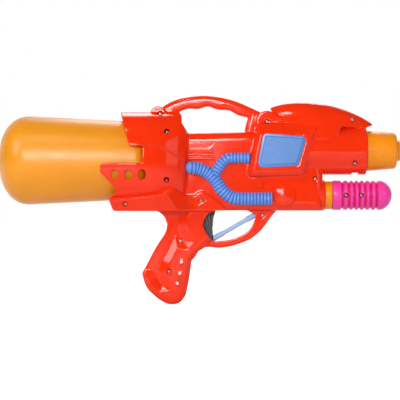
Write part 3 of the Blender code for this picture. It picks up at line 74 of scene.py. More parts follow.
# %% [markdown]
# ## The camera
#
# The picture was taken square to the side with a long lens: circles on the far left and right hardly turn.
# Two metres away and 0.25 wide per metre of distance puts half a metre of squirter exactly across the
# frame.

# %% Camera
scene = bpy.context.scene
scene.view_settings.view_transform = "Standard"
camera = bpy.data.objects.new("side_camera", bpy.data.cameras.new("side_camera"))
camera.data.lens = 144.0
camera.data.sensor_width = 36.0
camera.location = (0.0006, -2.0, 0.1295)
camera.rotation_euler = (math.pi / 2, 0.0, 0.0)
scene.collection.objects.link(camera)
scene.camera = camera
print("camera at", tuple(round(v, 4) for v in camera.location))

# %% [markdown]
# ## White surroundings and soft light
#
# The toy stands before a white backdrop in a dim room. The world gives an even fill. Rays that the eye
# follows see it as pure white, and so do rays by way of a shiny surface where they reach the backdrop. On
# the camera's side they see the dim room, which leaves the flat sides, square to the camera, their full
# colour. The floor is pale and matt, and adds white for those rays alone, so that it keeps a soft shadow. A
# strip and a flash beside the camera, a key lamp above, a small lamp on the left and a weak one on the
# right make the highlights, and one at the back lights the far side.

# %% World, floor and lamps
SEEN_RAYS = ("Is Camera Ray", "Is Glossy Ray", "Is Transmission Ray")
FILL = 0.31
DIM_ROOM = 0.05
BACKDROP_EDGE = (0.3, 0.9)
FLOOR_HALF = 6.0
FLOOR_DROP = 0.0004
FLOOR_GLOW = 0.78
FLOOR_GLOW_REACH = 0.6
LAMPS = (
    ("front_strip", (-0.25, -2.05, 0.64), 0.7, 0.54, 21.0),
    ("camera_flash", (-0.03, -2.04, 0.25), 0.08, 0.06, 0.3),
    ("key", (-0.36, -1.1, 1.85), 0.24, 0.24, 2.9),
    ("left", (-0.96, -0.67, 0.76), 0.36, 0.62, 4.4),
    ("side", (1.4, -0.9, 0.5), 0.9, 0.7, 2.0),
    ("back", (0.1, 1.3, 1.5), 0.8, 0.8, 8.0),
)
LAMP_AIM = Vector((0.0, 0.0, 0.15))


def seen(tree):
    """A socket that is 1 for rays the viewer follows to a surface, and 0 for rays that only carry light."""
    path = tree.nodes.new("ShaderNodeLightPath")
    total = None
    for name in SEEN_RAYS:
        if total is None:
            total = path.outputs[name]
            continue
        add = tree.nodes.new("ShaderNodeMath")
        add.operation = "MAXIMUM"
        tree.links.new(total, add.inputs[0])
        tree.links.new(path.outputs[name], add.inputs[1])
        total = add.outputs[0]
    return total


def studio_world():
    world = bpy.data.worlds.new("studio")
    world.use_nodes = True
    nodes = world.node_tree.nodes
    link = world.node_tree.links.new

    def blend(share, low, high):
        made = nodes.new("ShaderNodeMapRange")
        link(share, made.inputs["Value"])
        for end, value in (("To Min", low), ("To Max", high)):
            if isinstance(value, float):
                made.inputs[end].default_value = value
            else:
                link(value, made.inputs[end])
        return made

    direction = nodes.new("ShaderNodeSeparateXYZ")
    link(nodes.new("ShaderNodeTexCoord").outputs["Generated"], direction.inputs["Vector"])
    room = blend(direction.outputs["Y"], DIM_ROOM, 1.0)
    room.interpolation_type = "SMOOTHSTEP"
    room.inputs["From Min"].default_value = BACKDROP_EDGE[0]
    room.inputs["From Max"].default_value = BACKDROP_EDGE[1]
    light = blend(seen(world.node_tree), FILL, room.outputs["Result"])
    camera_ray = nodes.new("ShaderNodeLightPath").outputs["Is Camera Ray"]
    strength = blend(camera_ray, light.outputs["Result"], 1.0)
    nodes["Background"].inputs["Color"].default_value = (1.0, 1.0, 1.0, 1.0)
    link(strength.outputs["Result"], nodes["Background"].inputs["Strength"])
    return world


def studio_floor():
    bm = bmesh.new()
    bmesh.ops.create_grid(bm, x_segments=8, y_segments=8, size=FLOOR_HALF)
    bmesh.ops.translate(bm, verts=bm.verts, vec=(0.0, 0.0, -FLOOR_DROP))
    mesh = bpy.data.meshes.new("floor")
    bm.to_mesh(mesh)
    bm.free()
    paint = bpy.data.materials.new("pale_floor")
    paint.use_nodes = True
    tree = paint.node_tree
    shader = tree.nodes["Principled BSDF"]
    shader.inputs["Base Color"].default_value = (0.86, 0.86, 0.86, 1.0)
    shader.inputs["Roughness"].default_value = 0.9
    shader.inputs["Specular IOR Level"].default_value = 0.0
    shader.inputs["Emission Color"].default_value = (1.0, 1.0, 1.0, 1.0)
    across = tree.nodes.new("ShaderNodeSeparateXYZ")
    tree.links.new(tree.nodes.new("ShaderNodeTexCoord").outputs["Object"], across.inputs["Vector"])
    far = tree.nodes.new("ShaderNodeMapRange")
    far.interpolation_type = "SMOOTHSTEP"
    far.inputs["From Min"].default_value = 0.0
    far.inputs["From Max"].default_value = FLOOR_GLOW_REACH
    tree.links.new(across.outputs["Y"], far.inputs["Value"])
    camera_ray = tree.nodes.new("ShaderNodeLightPath").outputs["Is Camera Ray"]
    share = tree.nodes.new("ShaderNodeMath")
    share.operation = "MAXIMUM"
    tree.links.new(far.outputs["Result"], share.inputs[0])
    tree.links.new(camera_ray, share.inputs[1])
    glow = tree.nodes.new("ShaderNodeMath")
    glow.operation = "MULTIPLY"
    tree.links.new(seen(tree), glow.inputs[0])
    tree.links.new(share.outputs[0], glow.inputs[1])
    strength = tree.nodes.new("ShaderNodeMapRange")
    strength.inputs["To Max"].default_value = FLOOR_GLOW
    tree.links.new(glow.outputs[0], strength.inputs["Value"])
    tree.links.new(strength.outputs["Result"], shader.inputs["Emission Strength"])
    mesh.materials.append(paint)
    floor = bpy.data.objects.new("floor", mesh)
    scene.collection.objects.link(floor)


def lamp(name, place, width, height, power):
    light = bpy.data.lights.new(name, "AREA")
    light.shape = "RECTANGLE"
    light.size = width
    light.size_y = height
    light.energy = power
    holder = bpy.data.objects.new(name, light)
    holder.location = place
    aim = LAMP_AIM - Vector(place)
    holder.rotation_euler = aim.to_track_quat("-Z", "Y").to_euler()
    scene.collection.objects.link(holder)


scene.world = studio_world()
studio_floor()
for row in LAMPS:
    lamp(*row)
print("lamps", [row[0] for row in LAMPS])

# %% [markdown]
# ## Moulded plastic
#
# Nearly every piece is injection-moulded plastic. Up close it isn't one colour: the pigment clouds a
# little, the polish of the mould changes from place to place, and a very fine orange-peel breaks up the
# highlights. One recipe makes all of these from noise on Object coordinates, and each piece gives its own
# colour, polish and grain. The screws' steel is the same recipe with a metal's reflection, and its colour is
# tinted warm as a painted reflection of the red of its recesses.

# %% Plastic recipe
CLOUD_SCALE = 24.0
POLISH_SCALE = 60.0
PEEL_SCALE = 420.0
PEEL_HEIGHT = 0.0004


def plastic(name, colour, roughness, cloud=0.07, peel=0.05, metallic=0.0, shine=0.45):
    look = bpy.data.materials.new(name)
    look.use_nodes = True
    nodes = look.node_tree.nodes
    link = look.node_tree.links.new
    shader = nodes["Principled BSDF"]
    shader.inputs["Metallic"].default_value = metallic
    shader.inputs["Specular IOR Level"].default_value = shine
    place = nodes.new("ShaderNodeTexCoord").outputs["Object"]

    def noise(scale, detail):
        made = nodes.new("ShaderNodeTexNoise")
        made.inputs["Scale"].default_value = scale
        made.inputs["Detail"].default_value = detail
        link(place, made.inputs["Vector"])
        return made.outputs["Fac"]

    tint = nodes.new("ShaderNodeValToRGB")
    tint.color_ramp.elements[0].position = 0.3
    tint.color_ramp.elements[1].position = 0.7
    tint.color_ramp.elements[0].color = (*[c * (1.0 - cloud) for c in colour], 1.0)
    tint.color_ramp.elements[1].color = (*[min(1.0, c * (1.0 + cloud)) for c in colour], 1.0)
    link(noise(CLOUD_SCALE, 4.0), tint.inputs["Fac"])
    link(tint.outputs["Color"], shader.inputs["Base Color"])

    polish = nodes.new("ShaderNodeMapRange")
    polish.inputs["To Min"].default_value = roughness * 0.8
    polish.inputs["To Max"].default_value = roughness * 1.25
    link(noise(POLISH_SCALE, 5.0), polish.inputs["Value"])
    link(polish.outputs["Result"], shader.inputs["Roughness"])

    bump = nodes.new("ShaderNodeBump")
    bump.inputs["Strength"].default_value = peel
    bump.inputs["Distance"].default_value = PEEL_HEIGHT
    link(noise(PEEL_SCALE, 3.0), bump.inputs["Height"])
    link(bump.outputs["Normal"], shader.inputs["Normal"])
    return look


def plastic_with_groove_shade(name, colour, shade_tint, roughness, peel):
    """Plastic with painted shade: darker in colour where the shade attribute that its mesh keeps is high."""
    look = plastic(name, colour, roughness, peel=peel)
    nodes = look.node_tree.nodes
    link = look.node_tree.links.new
    shader = nodes["Principled BSDF"]
    # Painted shade: the mesh's attribute multiplies the colour by the shade tint.
    painted_shade = nodes.new("ShaderNodeAttribute")
    painted_shade.attribute_name = "painted_shade"
    deep = nodes.new("ShaderNodeMix")
    deep.data_type = "RGBA"
    deep.blend_type = "MULTIPLY"
    link(painted_shade.outputs["Fac"], deep.inputs["Factor"])
    link(shader.inputs["Base Color"].links[0].from_socket, deep.inputs["A"])
    deep.inputs["B"].default_value = (*shade_tint, 1.0)
    link(deep.outputs["Result"], shader.inputs["Base Color"])
    return look


red = plastic("red_body", (0.90, 0.03, 0.002), 0.09, shine=0.45)
yellow = plastic("yellow_nozzle", (0.90, 0.28, 0.004), 0.26, shine=0.4)
# The pump, the hose and the trigger darken in their grooves as painted shade.
pink = plastic_with_groove_shade("pink_pump", (0.92, 0.05, 0.38), (0.72, 0.15, 0.32), 0.26, 0.05)
hose_blue = plastic_with_groove_shade("hose_blue", (0.13, 0.31, 0.78), (0.22, 0.34, 0.62), 0.14, 0.25)
window_blue = plastic("window_blue", (0.1, 0.245, 0.6), 0.26)
white = plastic("white_valve", (0.78, 0.78, 0.75), 0.4)
clear = plastic("milky_hose", (0.72, 0.76, 0.78), 0.25)
rubber = plastic("black_rubber", (0.018, 0.018, 0.02), 0.65, cloud=0.2)
graphite = plastic_with_groove_shade("graphite_trigger", (0.19, 0.19, 0.2), (0.16, 0.16, 0.17), 0.16, 0.05)
# The steel's warm tint is a painted reflection of the red recesses that the screws sit in.
steel = plastic("zinc_steel", (0.54, 0.29, 0.26), 0.42, cloud=0.15, peel=0.2, metallic=1.0)
finishes = (red, yellow, pink, hose_blue, window_blue, white, clear, rubber, graphite, steel)
print("finishes", [look.name for look in finishes])

# %% [markdown]
# ## The amber tank's finish
#
# The bottle is blown from a tinted plastic that lets light wander in its wall: it glows where the light
# comes through and deepens towards its edges. Subsurface scattering gives that glow without making it
# clear.


# %% Amber finish
def amber_finish():
    look = plastic("amber_bottle", (0.88, 0.30, 0.001), 0.35, cloud=0.04, peel=0.02, shine=0.6)
    shader = look.node_tree.nodes["Principled BSDF"]
    shader.inputs["Subsurface Weight"].default_value = 0.25
    shader.inputs["Subsurface Radius"].default_value = (1.0, 0.45, 0.1)
    shader.inputs["Subsurface Scale"].default_value = 0.012
    return look


amber = amber_finish()
print("finish", amber.name)

# %% [markdown]
# ## Outlines
#
# Most of the body is a side outline with some thickness. An outline is a ring of knots in the XZ plane, in
# millimetres: a pair is a point that the curve runs smoothly through, and a triple is a corner with its own
# fillet radius. The same reader serves closed outlines and the open profiles that are later spun on an
# axis.

# %% Reading knots
CURVE_STEPS = 10
FILLET_SAG = 0.02
SHARP_BELOW = 0.02
EDGE_SHARE = 0.49


def fillet(before, corner, after, radius):
    """Points of the arc that rounds a corner, as large as its two edges allow."""
    back = before - corner
    on = after - corner
    half = back.angle(on) / 2.0
    reach = min(radius / math.tan(half), EDGE_SHARE * back.length, EDGE_SHARE * on.length)
    radius = reach * math.tan(half)
    if radius < SHARP_BELOW:
        return [corner]
    middle = corner + (back.normalized() + on.normalized()).normalized() * (radius / math.sin(half))
    first = corner + back.normalized() * reach - middle
    turn = math.pi - 2.0 * half
    if back.x * on.y - back.y * on.x > 0:
        turn = -turn
    steps = max(2, math.ceil(abs(turn) / (2.0 * math.acos(max(0.2, 1.0 - FILLET_SAG / radius)))))
    return [middle + Matrix.Rotation(turn * i / steps, 2) @ first for i in range(steps + 1)]


def span(start, end, leave, arrive):
    """Points of a smooth span between two knots, without its end."""
    points = []
    for i in range(CURVE_STEPS):
        t = i / CURVE_STEPS
        points.append(
            start * (2 * t**3 - 3 * t**2 + 1) + leave * (t**3 - 2 * t**2 + t)
            + end * (3 * t**2 - 2 * t**3) + arrive * (t**3 - t**2))
    return points


def outline(knots):
    """A closed outline as points."""
    places = [Vector(knot[:2]) for knot in knots]
    corner = [len(knot) == 3 for knot in knots]
    count = len(knots)
    points = []
    for i in range(count):
        before, here, after = places[i - 1], places[i], places[(i + 1) % count]
        beyond = places[(i + 2) % count]
        if corner[i] and corner[(i + 1) % count]:
            points += fillet(before, here, after, knots[i][2]) if corner[i - 1] else [here]
            continue
        step = after - here
        leave = step if corner[i] else (after - before) * step.length / (step.length + (here - before).length)
        arrive = step if corner[(i + 1) % count] else (beyond - here) * step.length / (
            step.length + (beyond - after).length)
        points += span(here, after, leave, arrive)
    return points


def inset(knots, by, least=1.2):
    """The corners of a convex outline, moved inwards, with no fillet under the least."""
    places = [Vector(knot[:2]) for knot in knots]
    moved = []
    for i, knot in enumerate(knots):
        back = (places[i - 1] - places[i]).normalized()
        on = (places[(i + 1) % len(knots)] - places[i]).normalized()
        inward = (back + on).normalized() * by / math.sin(back.angle(on) / 2.0)
        moved.append((*(places[i] + inward), max(least, knot[2] - by)))
    return moved


def profile(knots):
    """An open profile of (X, radius, fillet) corners as points."""
    places = [Vector(knot[:2]) for knot in knots]
    points = [places[0]]
    for i in range(1, len(knots) - 1):
        round_by = knots[i][2] if len(knots[i]) == 3 else 0.0
        points += fillet(places[i - 1], places[i], places[i + 1], round_by)
    return points + [places[-1]]


def route(knots, spacing):
    """Evenly spaced points on a smooth open curve through places in space."""
    places = [Vector(knot) for knot in knots]
    places = [places[0] * 2 - places[1]] + places + [places[-1] * 2 - places[-2]]
    fine = []
    for before, here, after, beyond in zip(places, places[1:], places[2:], places[3:]):
        step = (after - here).length
        leave = (after - before) * step / (step + (here - before).length)
        arrive = (beyond - here) * step / (step + (beyond - after).length)
        fine += span(here, after, leave, arrive)
    fine.append(places[-2])
    lengths = [0.0]
    for a, b in zip(fine, fine[1:]):
        lengths.append(lengths[-1] + (b - a).length)
    count = max(2, round(lengths[-1] / spacing))
    points = []
    at = 0
    for i in range(count + 1):
        wanted = lengths[-1] * i / count
        while at < len(fine) - 2 and lengths[at + 1] < wanted:
            at += 1
        share = (wanted - lengths[at]) / (lengths[at + 1] - lengths[at])
        points.append(fine[at].lerp(fine[at + 1], share))
    return points


# %% [markdown]
# ## Solids to build with
#
# A slab is an outline filled, extruded and bevelled. A turned form is a profile spun round an axis parallel
# to X. A rod is a cylinder or cone between two points. All of them are plain closed meshes, so they can be
# joined and cut with Boolean modifiers.

# %% Slabs, turned forms and rods
UPRIGHT = {
    "X": Matrix(((0, 0, 1, 0), (1, 0, 0, 0), (0, 1, 0, 0), (0, 0, 0, 1))),
    "Y": Matrix(((1, 0, 0, 0), (0, 0, 1, 0), (0, 1, 0, 0), (0, 0, 0, 1))),
    "Z": Matrix.Identity(4),
}


def placed(mesh, name):
    obj = bpy.data.objects.new(name, mesh)
    scene.collection.objects.link(obj)
    return obj


def from_bmesh(bm, name):
    mesh = bpy.data.meshes.new(name)
    bm.to_mesh(mesh)
    bm.free()
    return placed(mesh, name)


def solid(bm, name):
    """A bmesh in millimetres made into an object in metres."""
    bmesh.ops.scale(bm, vec=(MM, MM, MM), verts=bm.verts)
    return from_bmesh(bm, name)


def slab(name, points, low, high, axis="Y", edge=0.0, rings=9):
    """An outline swept from low to high along an axis, with both rims rounded by edge."""
    bm = bmesh.new()
    face = bm.faces.new([bm.verts.new((p[0], p[1], low)) for p in points])
    swept = bmesh.ops.extrude_face_region(bm, geom=[face])
    top = [v for v in swept["geom"] if isinstance(v, bmesh.types.BMVert)]
    bmesh.ops.translate(bm, verts=top, vec=(0.0, 0.0, high - low))
    if edge:
        rims = [e for e in bm.edges if abs(e.verts[0].co.z - e.verts[1].co.z) < 1e-6]
        bmesh.ops.bevel(
            bm, geom=rims, offset=edge, offset_type="OFFSET", segments=rings, profile=0.5, affect="EDGES",
            material=-1)
    bmesh.ops.transform(bm, matrix=UPRIGHT[axis], verts=bm.verts)
    bmesh.ops.recalc_face_normals(bm, faces=bm.faces)
    return solid(bm, name)


def turned(name, points, axis_z, steps=96):
    """A closed solid of revolution about the line parallel to X at height axis_z."""
    bm = bmesh.new()
    verts = [bm.verts.new((x, 0.0, radius)) for x, radius in points]
    edges = [bm.edges.new(pair) for pair in zip(verts, verts[1:])]
    bmesh.ops.spin(
        bm, geom=verts + edges, cent=(0.0, 0.0, 0.0), axis=(1.0, 0.0, 0.0), angle=2.0 * math.pi, steps=steps,
        use_merge=True)
    bmesh.ops.remove_doubles(bm, verts=bm.verts, dist=0.0005)
    bmesh.ops.translate(bm, verts=bm.verts, vec=(0.0, 0.0, axis_z))
    bmesh.ops.recalc_face_normals(bm, faces=bm.faces)
    return solid(bm, name)


def rod(name, start, end, radius, sides=48, end_radius=None):
    """A straight round rod between two places."""
    bm = bmesh.new()
    run = Vector(end) - Vector(start)
    bmesh.ops.create_cone(
        bm, cap_ends=True, segments=sides, radius1=radius, radius2=end_radius or radius, depth=run.length)
    turn = run.to_track_quat("Z", "Y").to_matrix().to_4x4()
    middle = Matrix.Translation((Vector(start) + Vector(end)) / 2.0)
    bmesh.ops.transform(bm, matrix=middle @ turn, verts=bm.verts)
    return solid(bm, name)


def block(name, low, high):
    bm = bmesh.new()
    bmesh.ops.create_cube(bm, size=1.0)
    bmesh.ops.scale(bm, vec=Vector(high) - Vector(low), verts=bm.verts)
    bmesh.ops.translate(bm, vec=(Vector(low) + Vector(high)) / 2.0, verts=bm.verts)
    return solid(bm, name)


def settle(obj):
    """Applies an object's modifiers to its mesh."""
    bpy.context.view_layer.update()
    made = bpy.data.meshes.new_from_object(obj.evaluated_get(bpy.context.evaluated_depsgraph_get()))
    obj.modifiers.clear()
    obj.data = made
    return obj


def carve(target, tools, operation):
    """Joins, cuts or intersects a solid with others, which are used up."""
    for tool in tools:
        step = target.modifiers.new(operation, "BOOLEAN")
        step.operation = operation
        step.solver = "MANIFOLD"
        step.object = tool
        settle(target)
        bpy.data.objects.remove(tool, do_unlink=True)
    return target


def dress(obj, name, body, look, nodes):
    """Makes a finished mesh a piece of the squirter, in place of the solids it stands for."""
    obj.name = name
    obj.data.name = name
    obj.data.materials.clear()
    obj.data.materials.append(look)
    obj.data.shade_smooth()
    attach(obj, body)
    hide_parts(*nodes)
    print(name, "faces", len(obj.data.polygons))
    return obj


# %% [markdown]
# ## The red body
#
# On the real toy this is two thin mouldings screwed together: a drum that hugs the tank, a carrying handle,
# a canopy over the barrel, window frames, the pump housing, a pistol grip and a trigger guard. Modelling
# the skin face by face would be slow, and every join needs the small fillet that a mould leaves. So the
# plain forms are joined and cut as solids first, and the result is then remeshed on a fine grid and
# relaxed, which rounds every edge and fills every inner corner at once.
#
# First come the outlines, as seen from the side.

# %% Body sizes and outlines
TANK_Z = 178.9
BARREL_Z = 190.8
PUMP_Z = 135.4
DRUM_Z = 177.65
DRUM_HALF = 57.0
DRUM_HALF_HEIGHT = 61.45
DRUM_POWER = 2.5
BODY_HALF = 22.0
WAIST_HALF = BODY_HALF - 0.6
FRAME_HALF = 33.5
GRIP_HALF = 18.3
FLARE_HALF = 11.8
PALM_SLOPE = (9.5, 5.6)
SEAM = 0.15
WIDE = 80.0

DRUM_SIDE = [
    (-98.0, 239.4, 1.5), (-85.5, 195.2, 6.0), (-69.8, 195.2, 1.5), (-69.8, 174.6, 1.5),
    (-121.5, 174.6, 6.0), (-121.0, 163.5, 4.0), (-104.0, 145.5, 5.0), (-101.5, 139.0, 2.5),
    (-112.0, 130.5, 3.0), (-107.0, 115.9, 4.0), (-6.0, 115.9, 0.0), (-6.0, 200.0, 0.0), (-22.0, 225.0, 3.0),
    (-22.0, 239.4, 10.0),
]
BELT_SIDE = [
    (-110.8, 129.4, 3.0), (-93.0, 130.7), (-48.6, 135.7), (-31.4, 143.0), (-19.1, 135.7), (-8.0, 134.4),
    (1.9, 139.4), (11.7, 134.4), (28.0, 123.0, 0.0), (34.0, 115.9, 0.0), (-106.0, 115.9, 4.0),
]
FRAME_SIDE = [
    (61.0, 158.6, 4.0), (128.5, 160.5, 4.0), (146.5, 224.0, 0.0), (73.0, 224.0, 0.0), (60.5, 166.0, 0.0),
]
WINDOW_SIDE = [(78.4, 211.7, 6.0), (132.1, 207.9, 5.0), (121.8, 171.4, 5.0), (70.7, 168.9, 6.5)]
CANOPY_SIDE = [
    (88.1, 243.8, 0.0), (92.5, 246.6), (106.0, 249.9), (124.0, 251.4), (142.0, 250.6), (162.0, 247.5),
    (182.6, 241.3), (200.6, 233.6), (214.0, 225.6), (216.6, 223.0, 1.0), (205.0, 218.6, 0.0),
    (175.5, 220.7, 3.0), (170.7, 205.9, 1.5), (143.0, 204.2, 0.0), (104.0, 203.0, 0.0), (76.0, 210.0, 0.0),
    (80.0, 226.0, 0.0), (91.3, 238.0, 0.0),
]
HANDLE_SIDE = [
    (-52.0, 234.0, 0.0), (-48.0, 244.6, 0.0), (-34.6, 252.2), (-17.5, 257.4), (7.5, 259.6), (39.4, 254.5),
    (76.0, 239.0, 0.0), (86.0, 232.0, 0.0), (86.0, 202.0, 0.0), (55.5, 200.0, 0.0), (56.8, 219.0),
    (60.3, 232.3, 2.5), (48.0, 235.3), (37.0, 241.0), (22.5, 242.2), (10.6, 246.0), (-1.9, 242.9),
    (-14.3, 243.3), (-28.5, 238.0, 0.0), (-36.0, 228.0, 0.0),
]
GRIP_SIDE = [
    (-42.0, 128.0, 0.0), (-40.6, 108.0, 0.0), (-40.2, 98.5), (-42.4, 89.4), (-54.6, 70.1),
    (-67.4, 46.0, 1.5), (-71.8, 38.2, 3.0), (-66.0, 21.1), (-54.0, 8.8), (-42.0, 1.4), (-32.0, 0.0),
    (-23.5, 3.0), (-16.8, 11.8, 0.0), (-12.9, 31.6), (-9.6, 54.5, 0.0), (-5.1, 59.1, 0.0),
    (-1.5, 65.4, 0.0), (6.0, 70.0, 0.0), (16.0, 82.0, 0.0), (14.0, 128.0, 0.0),
]
GRIP_FLARE = [
    (-57.0, 116.7, 0.0), (-49.4, 113.9), (-43.1, 107.6), (-40.9, 101.0, 0.0), (-34.0, 100.0, 0.0),
    (-34.0, 121.0, 0.0), (-57.0, 121.0, 0.0),
]
PALM_SIDE = [
    (-6.8, 119.6, 0.0), (-12.4, 113.4), (-16.1, 104.7), (-15.5, 94.8), (-10.6, 84.9), (-6.8, 78.1, 0.0),
    (-14.3, 68.1, 0.0), (-22.9, 68.8, 0.0), (-26.7, 71.2, 0.0), (-31.6, 61.3), (-37.8, 48.9), (-40.0, 40.0),
    (-38.6, 30.0), (-37.0, 18.0, 0.0), (-49.0, 16.6, 0.0), (-61.0, 25.5, 0.0), (-66.0, 33.0, 0.0),
    (-90.0, 33.0, 0.0), (-90.0, 119.6, 0.0),
]
GUARD_SIDE = [
    (-6.0, 66.0, 0.0), (3.0, 69.3, 0.0), (12.0, 70.9), (23.8, 69.8), (39.4, 72.0), (51.9, 75.8), (64.4, 81.4),
    (76.9, 92.0), (90.6, 110.1), (96.5, 116.5, 0.0), (94.0, 124.0, 0.0), (-6.0, 124.0, 0.0),
]
FINGER_SIDE = [
    (4.4, 99.6), (6.2, 106.0), (11.0, 112.2), (20.0, 116.5, 0.0), (58.0, 116.7, 2.0), (70.4, 111.4, 2.5),
    (69.3, 106.0), (64.1, 94.6), (54.8, 86.5), (39.2, 80.3), (22.0, 78.2), (16.5, 78.2, 0.0), (11.2, 84.7),
    (6.2, 92.2),
]
STUDS = ((-22.3, 52.6), (-24.4, 38.6), (-27.5, 26.2))
TAB_SIDE = [(67.8, 144.3, 1.0), (78.2, 144.3, 1.0), (78.2, 156.7, 1.0), (67.8, 156.7, 1.0)]
FLAP_HOLES = ((-103.3, 159.9), (-86.6, 159.9), (-70.1, 160.5))
RIDGES = (190.0, 185.7, 180.8)
print("half widths: drum", DRUM_HALF, "body", BODY_HALF, "frame", FRAME_HALF, "grip", GRIP_HALF)

# %% [markdown]
# The drum and the canopy are ovals swept along X while they narrow or sink, trimmed to their side outlines.
# Below a crease the drum lies a little deeper. The belt round its foot is the part that three swept
# outlines have in common: one seen from the side, one from above, and one from the end. The palm of the
# grip is hollowed, with a sloping border that catches the light.


# %% Drum, belt and canopy
def oval(half_width, half_height, middle_z, power, count=128):
    """A squarish oval seen along X."""
    points = []
    for i in range(count):
        a = 2.0 * math.pi * i / count
        y = half_width * math.copysign(abs(math.cos(a)) ** (2.0 / power), math.cos(a))
        z = half_height * math.copysign(abs(math.sin(a)) ** (2.0 / power), math.sin(a))
        points.append((y, middle_z + z))
    return points


def both_sides(half):
    """An outline given by its +Y half, completed by its mirror image."""
    return outline(half + [(k[0], -k[1], *k[2:]) for k in reversed(half)])


def loft(name, stations, middle_z, power):
    """An oval swept along X through stations, each a place, a half width and a half height."""
    x, half_width, half_height = stations[0]
    bm = bmesh.new()
    ring = oval(half_width, half_height, middle_z, power)
    face = bm.faces.new([bm.verts.new((x, y, z)) for y, z in ring])
    inner = []
    for (x, width, height), (next_x, next_width, next_height) in zip(stations, stations[1:]):
        swept = bmesh.ops.extrude_face_region(bm, geom=[face])["geom"]
        face = [g for g in swept if isinstance(g, bmesh.types.BMFace)][0]
        inner.append(face)
        verts = [g for g in swept if isinstance(g, bmesh.types.BMVert)]
        bmesh.ops.translate(bm, verts=verts, vec=(next_x - x, 0.0, 0.0))
        bmesh.ops.scale(
            bm, verts=verts, vec=(1.0, next_width / width, next_height / height),
            space=Matrix.Translation((0.0, 0.0, -middle_z)))
    bmesh.ops.delete(bm, geom=inner[:-1], context="FACES_ONLY")
    bmesh.ops.recalc_face_normals(bm, faces=bm.faces)
    return solid(bm, name)


DRUM_BACK = -128.0
BEND_START = -84.0
BEND_LENGTH = 69.0
BEND_POWER = 1.9
BEND_STEPS = 16
DRUM_FRONT = -7.0


def drum_form(name, sunk):
    """The drum, which narrows in a curve to the middle of the body, with its skin sunk by a depth."""
    height = DRUM_HALF_HEIGHT - sunk
    stations = [(DRUM_BACK, DRUM_HALF - sunk, height)]
    for i in range(BEND_STEPS + 1):
        t = math.sin(math.pi / 2 * i / BEND_STEPS)
        half = WAIST_HALF + (DRUM_HALF - WAIST_HALF) * (1.0 - t**BEND_POWER) ** (1.0 / BEND_POWER)
        stations.append((BEND_START + BEND_LENGTH * t, half - sunk, height))
    stations.append((DRUM_FRONT, WAIST_HALF - sunk, height))
    return loft(name, stations, DRUM_Z, DRUM_POWER)


CREASE_SIDE = [
    (-140.0, 100.0, 0.0), (-140.0, 195.2, 0.0), (-49.0, 195.2, 6.0), (-22.0, 180.5, 0.0), (-12.0, 174.0, 0.0),
    (-12.0, 100.0, 0.0),
]
CREASE_DEPTH = 2.6


def drum():
    made = carve(drum_form("drum", 0.0), [slab("side", outline(DRUM_SIDE), -WIDE, WIDE)], "INTERSECT")
    lower = slab("lower", outline(CREASE_SIDE), -WIDE, WIDE)
    carve(lower, [drum_form("floor", CREASE_DEPTH)], "DIFFERENCE")
    return carve(made, [lower], "DIFFERENCE")


BELT_PLAN = [(-130.0, 49.0, 0.0), (-40.0, 49.0, 12.0), (-11.0, 25.5, 16.0), (50.0, 25.5, 0.0)]
BELT_END = [(37.0, 113.0), (50.0, 138.0), (50.0, 150.0), (-50.0, 150.0), (-50.0, 138.0), (-37.0, 113.0)]


def belt():
    made = slab("belt", outline(BELT_SIDE), -WIDE, WIDE)
    carve(made, [slab("plan", both_sides(BELT_PLAN), 80.0, 160.0, "Z")], "INTERSECT")
    return carve(made, [slab("end", BELT_END, -140.0, 60.0, "X")], "INTERSECT")


CANOPY_SPINE = [
    (70.0, 16.0, 238.0), (88.0, 20.5, 245.6), (106.0, 24.5, 250.3), (124.0, 27.5, 251.8),
    (142.0, 29.0, 251.0), (162.0, 28.4, 247.9), (182.6, 25.0, 241.7), (200.6, 19.0, 234.0),
    (214.0, 13.0, 226.0), (221.0, 9.0, 221.0),
]
CANOPY_MIDDLE = 185.0


def canopy():
    stations = [(x, half, top - CANOPY_MIDDLE) for x, half, top in route(CANOPY_SPINE, 5.0)]
    made = loft("canopy", stations, CANOPY_MIDDLE, 2.15)
    return carve(made, [slab("side", outline(CANOPY_SIDE), -60.0, 60.0)], "INTERSECT")


def grip():
    made = slab("grip", outline(GRIP_SIDE), -GRIP_HALF, GRIP_HALF, edge=7.5)
    across, deep = PALM_SLOPE
    stretch = across / deep
    inner = (deep - GRIP_HALF) * stretch
    palm = slab("palm", outline(PALM_SIDE), -60.0 * stretch, inner, edge=across, rings=1)
    palm.data.transform(Matrix.Scale(1.0 / stretch, 4, (0.0, 1.0, 0.0)))
    carve(made, [palm], "DIFFERENCE")
    return carve(made, [slab("flare", outline(GRIP_FLARE), -FLARE_HALF, FLARE_HALF)], "UNION")


FRAME_END = [(33.6, 140.0), (33.6, 209.5), (21.5, 226.0), (-21.5, 226.0), (-33.6, 209.5), (-33.6, 140.0)]


def window_frame():
    made = slab("frame", outline(FRAME_SIDE), -FRAME_HALF, FRAME_HALF, edge=5.0, rings=1)
    return carve(made, [slab("end", FRAME_END, 40.0, 180.0, "X")], "INTERSECT")


red_body = drum()
carve(red_body, [belt(), canopy(), grip(), window_frame()], "UNION")
print("joined forms", len(red_body.data.polygons))

# %% [markdown]
# The rest of the body is slabs with rounded rims, turned housings and the lugs at both ends of the handle.


# %% Middle, housings, handle and guard
def side_slab(name, knots, half_width, edge=0.0, rings=9):
    return slab(name, outline(knots), -half_width, half_width, edge=edge, rings=rings)


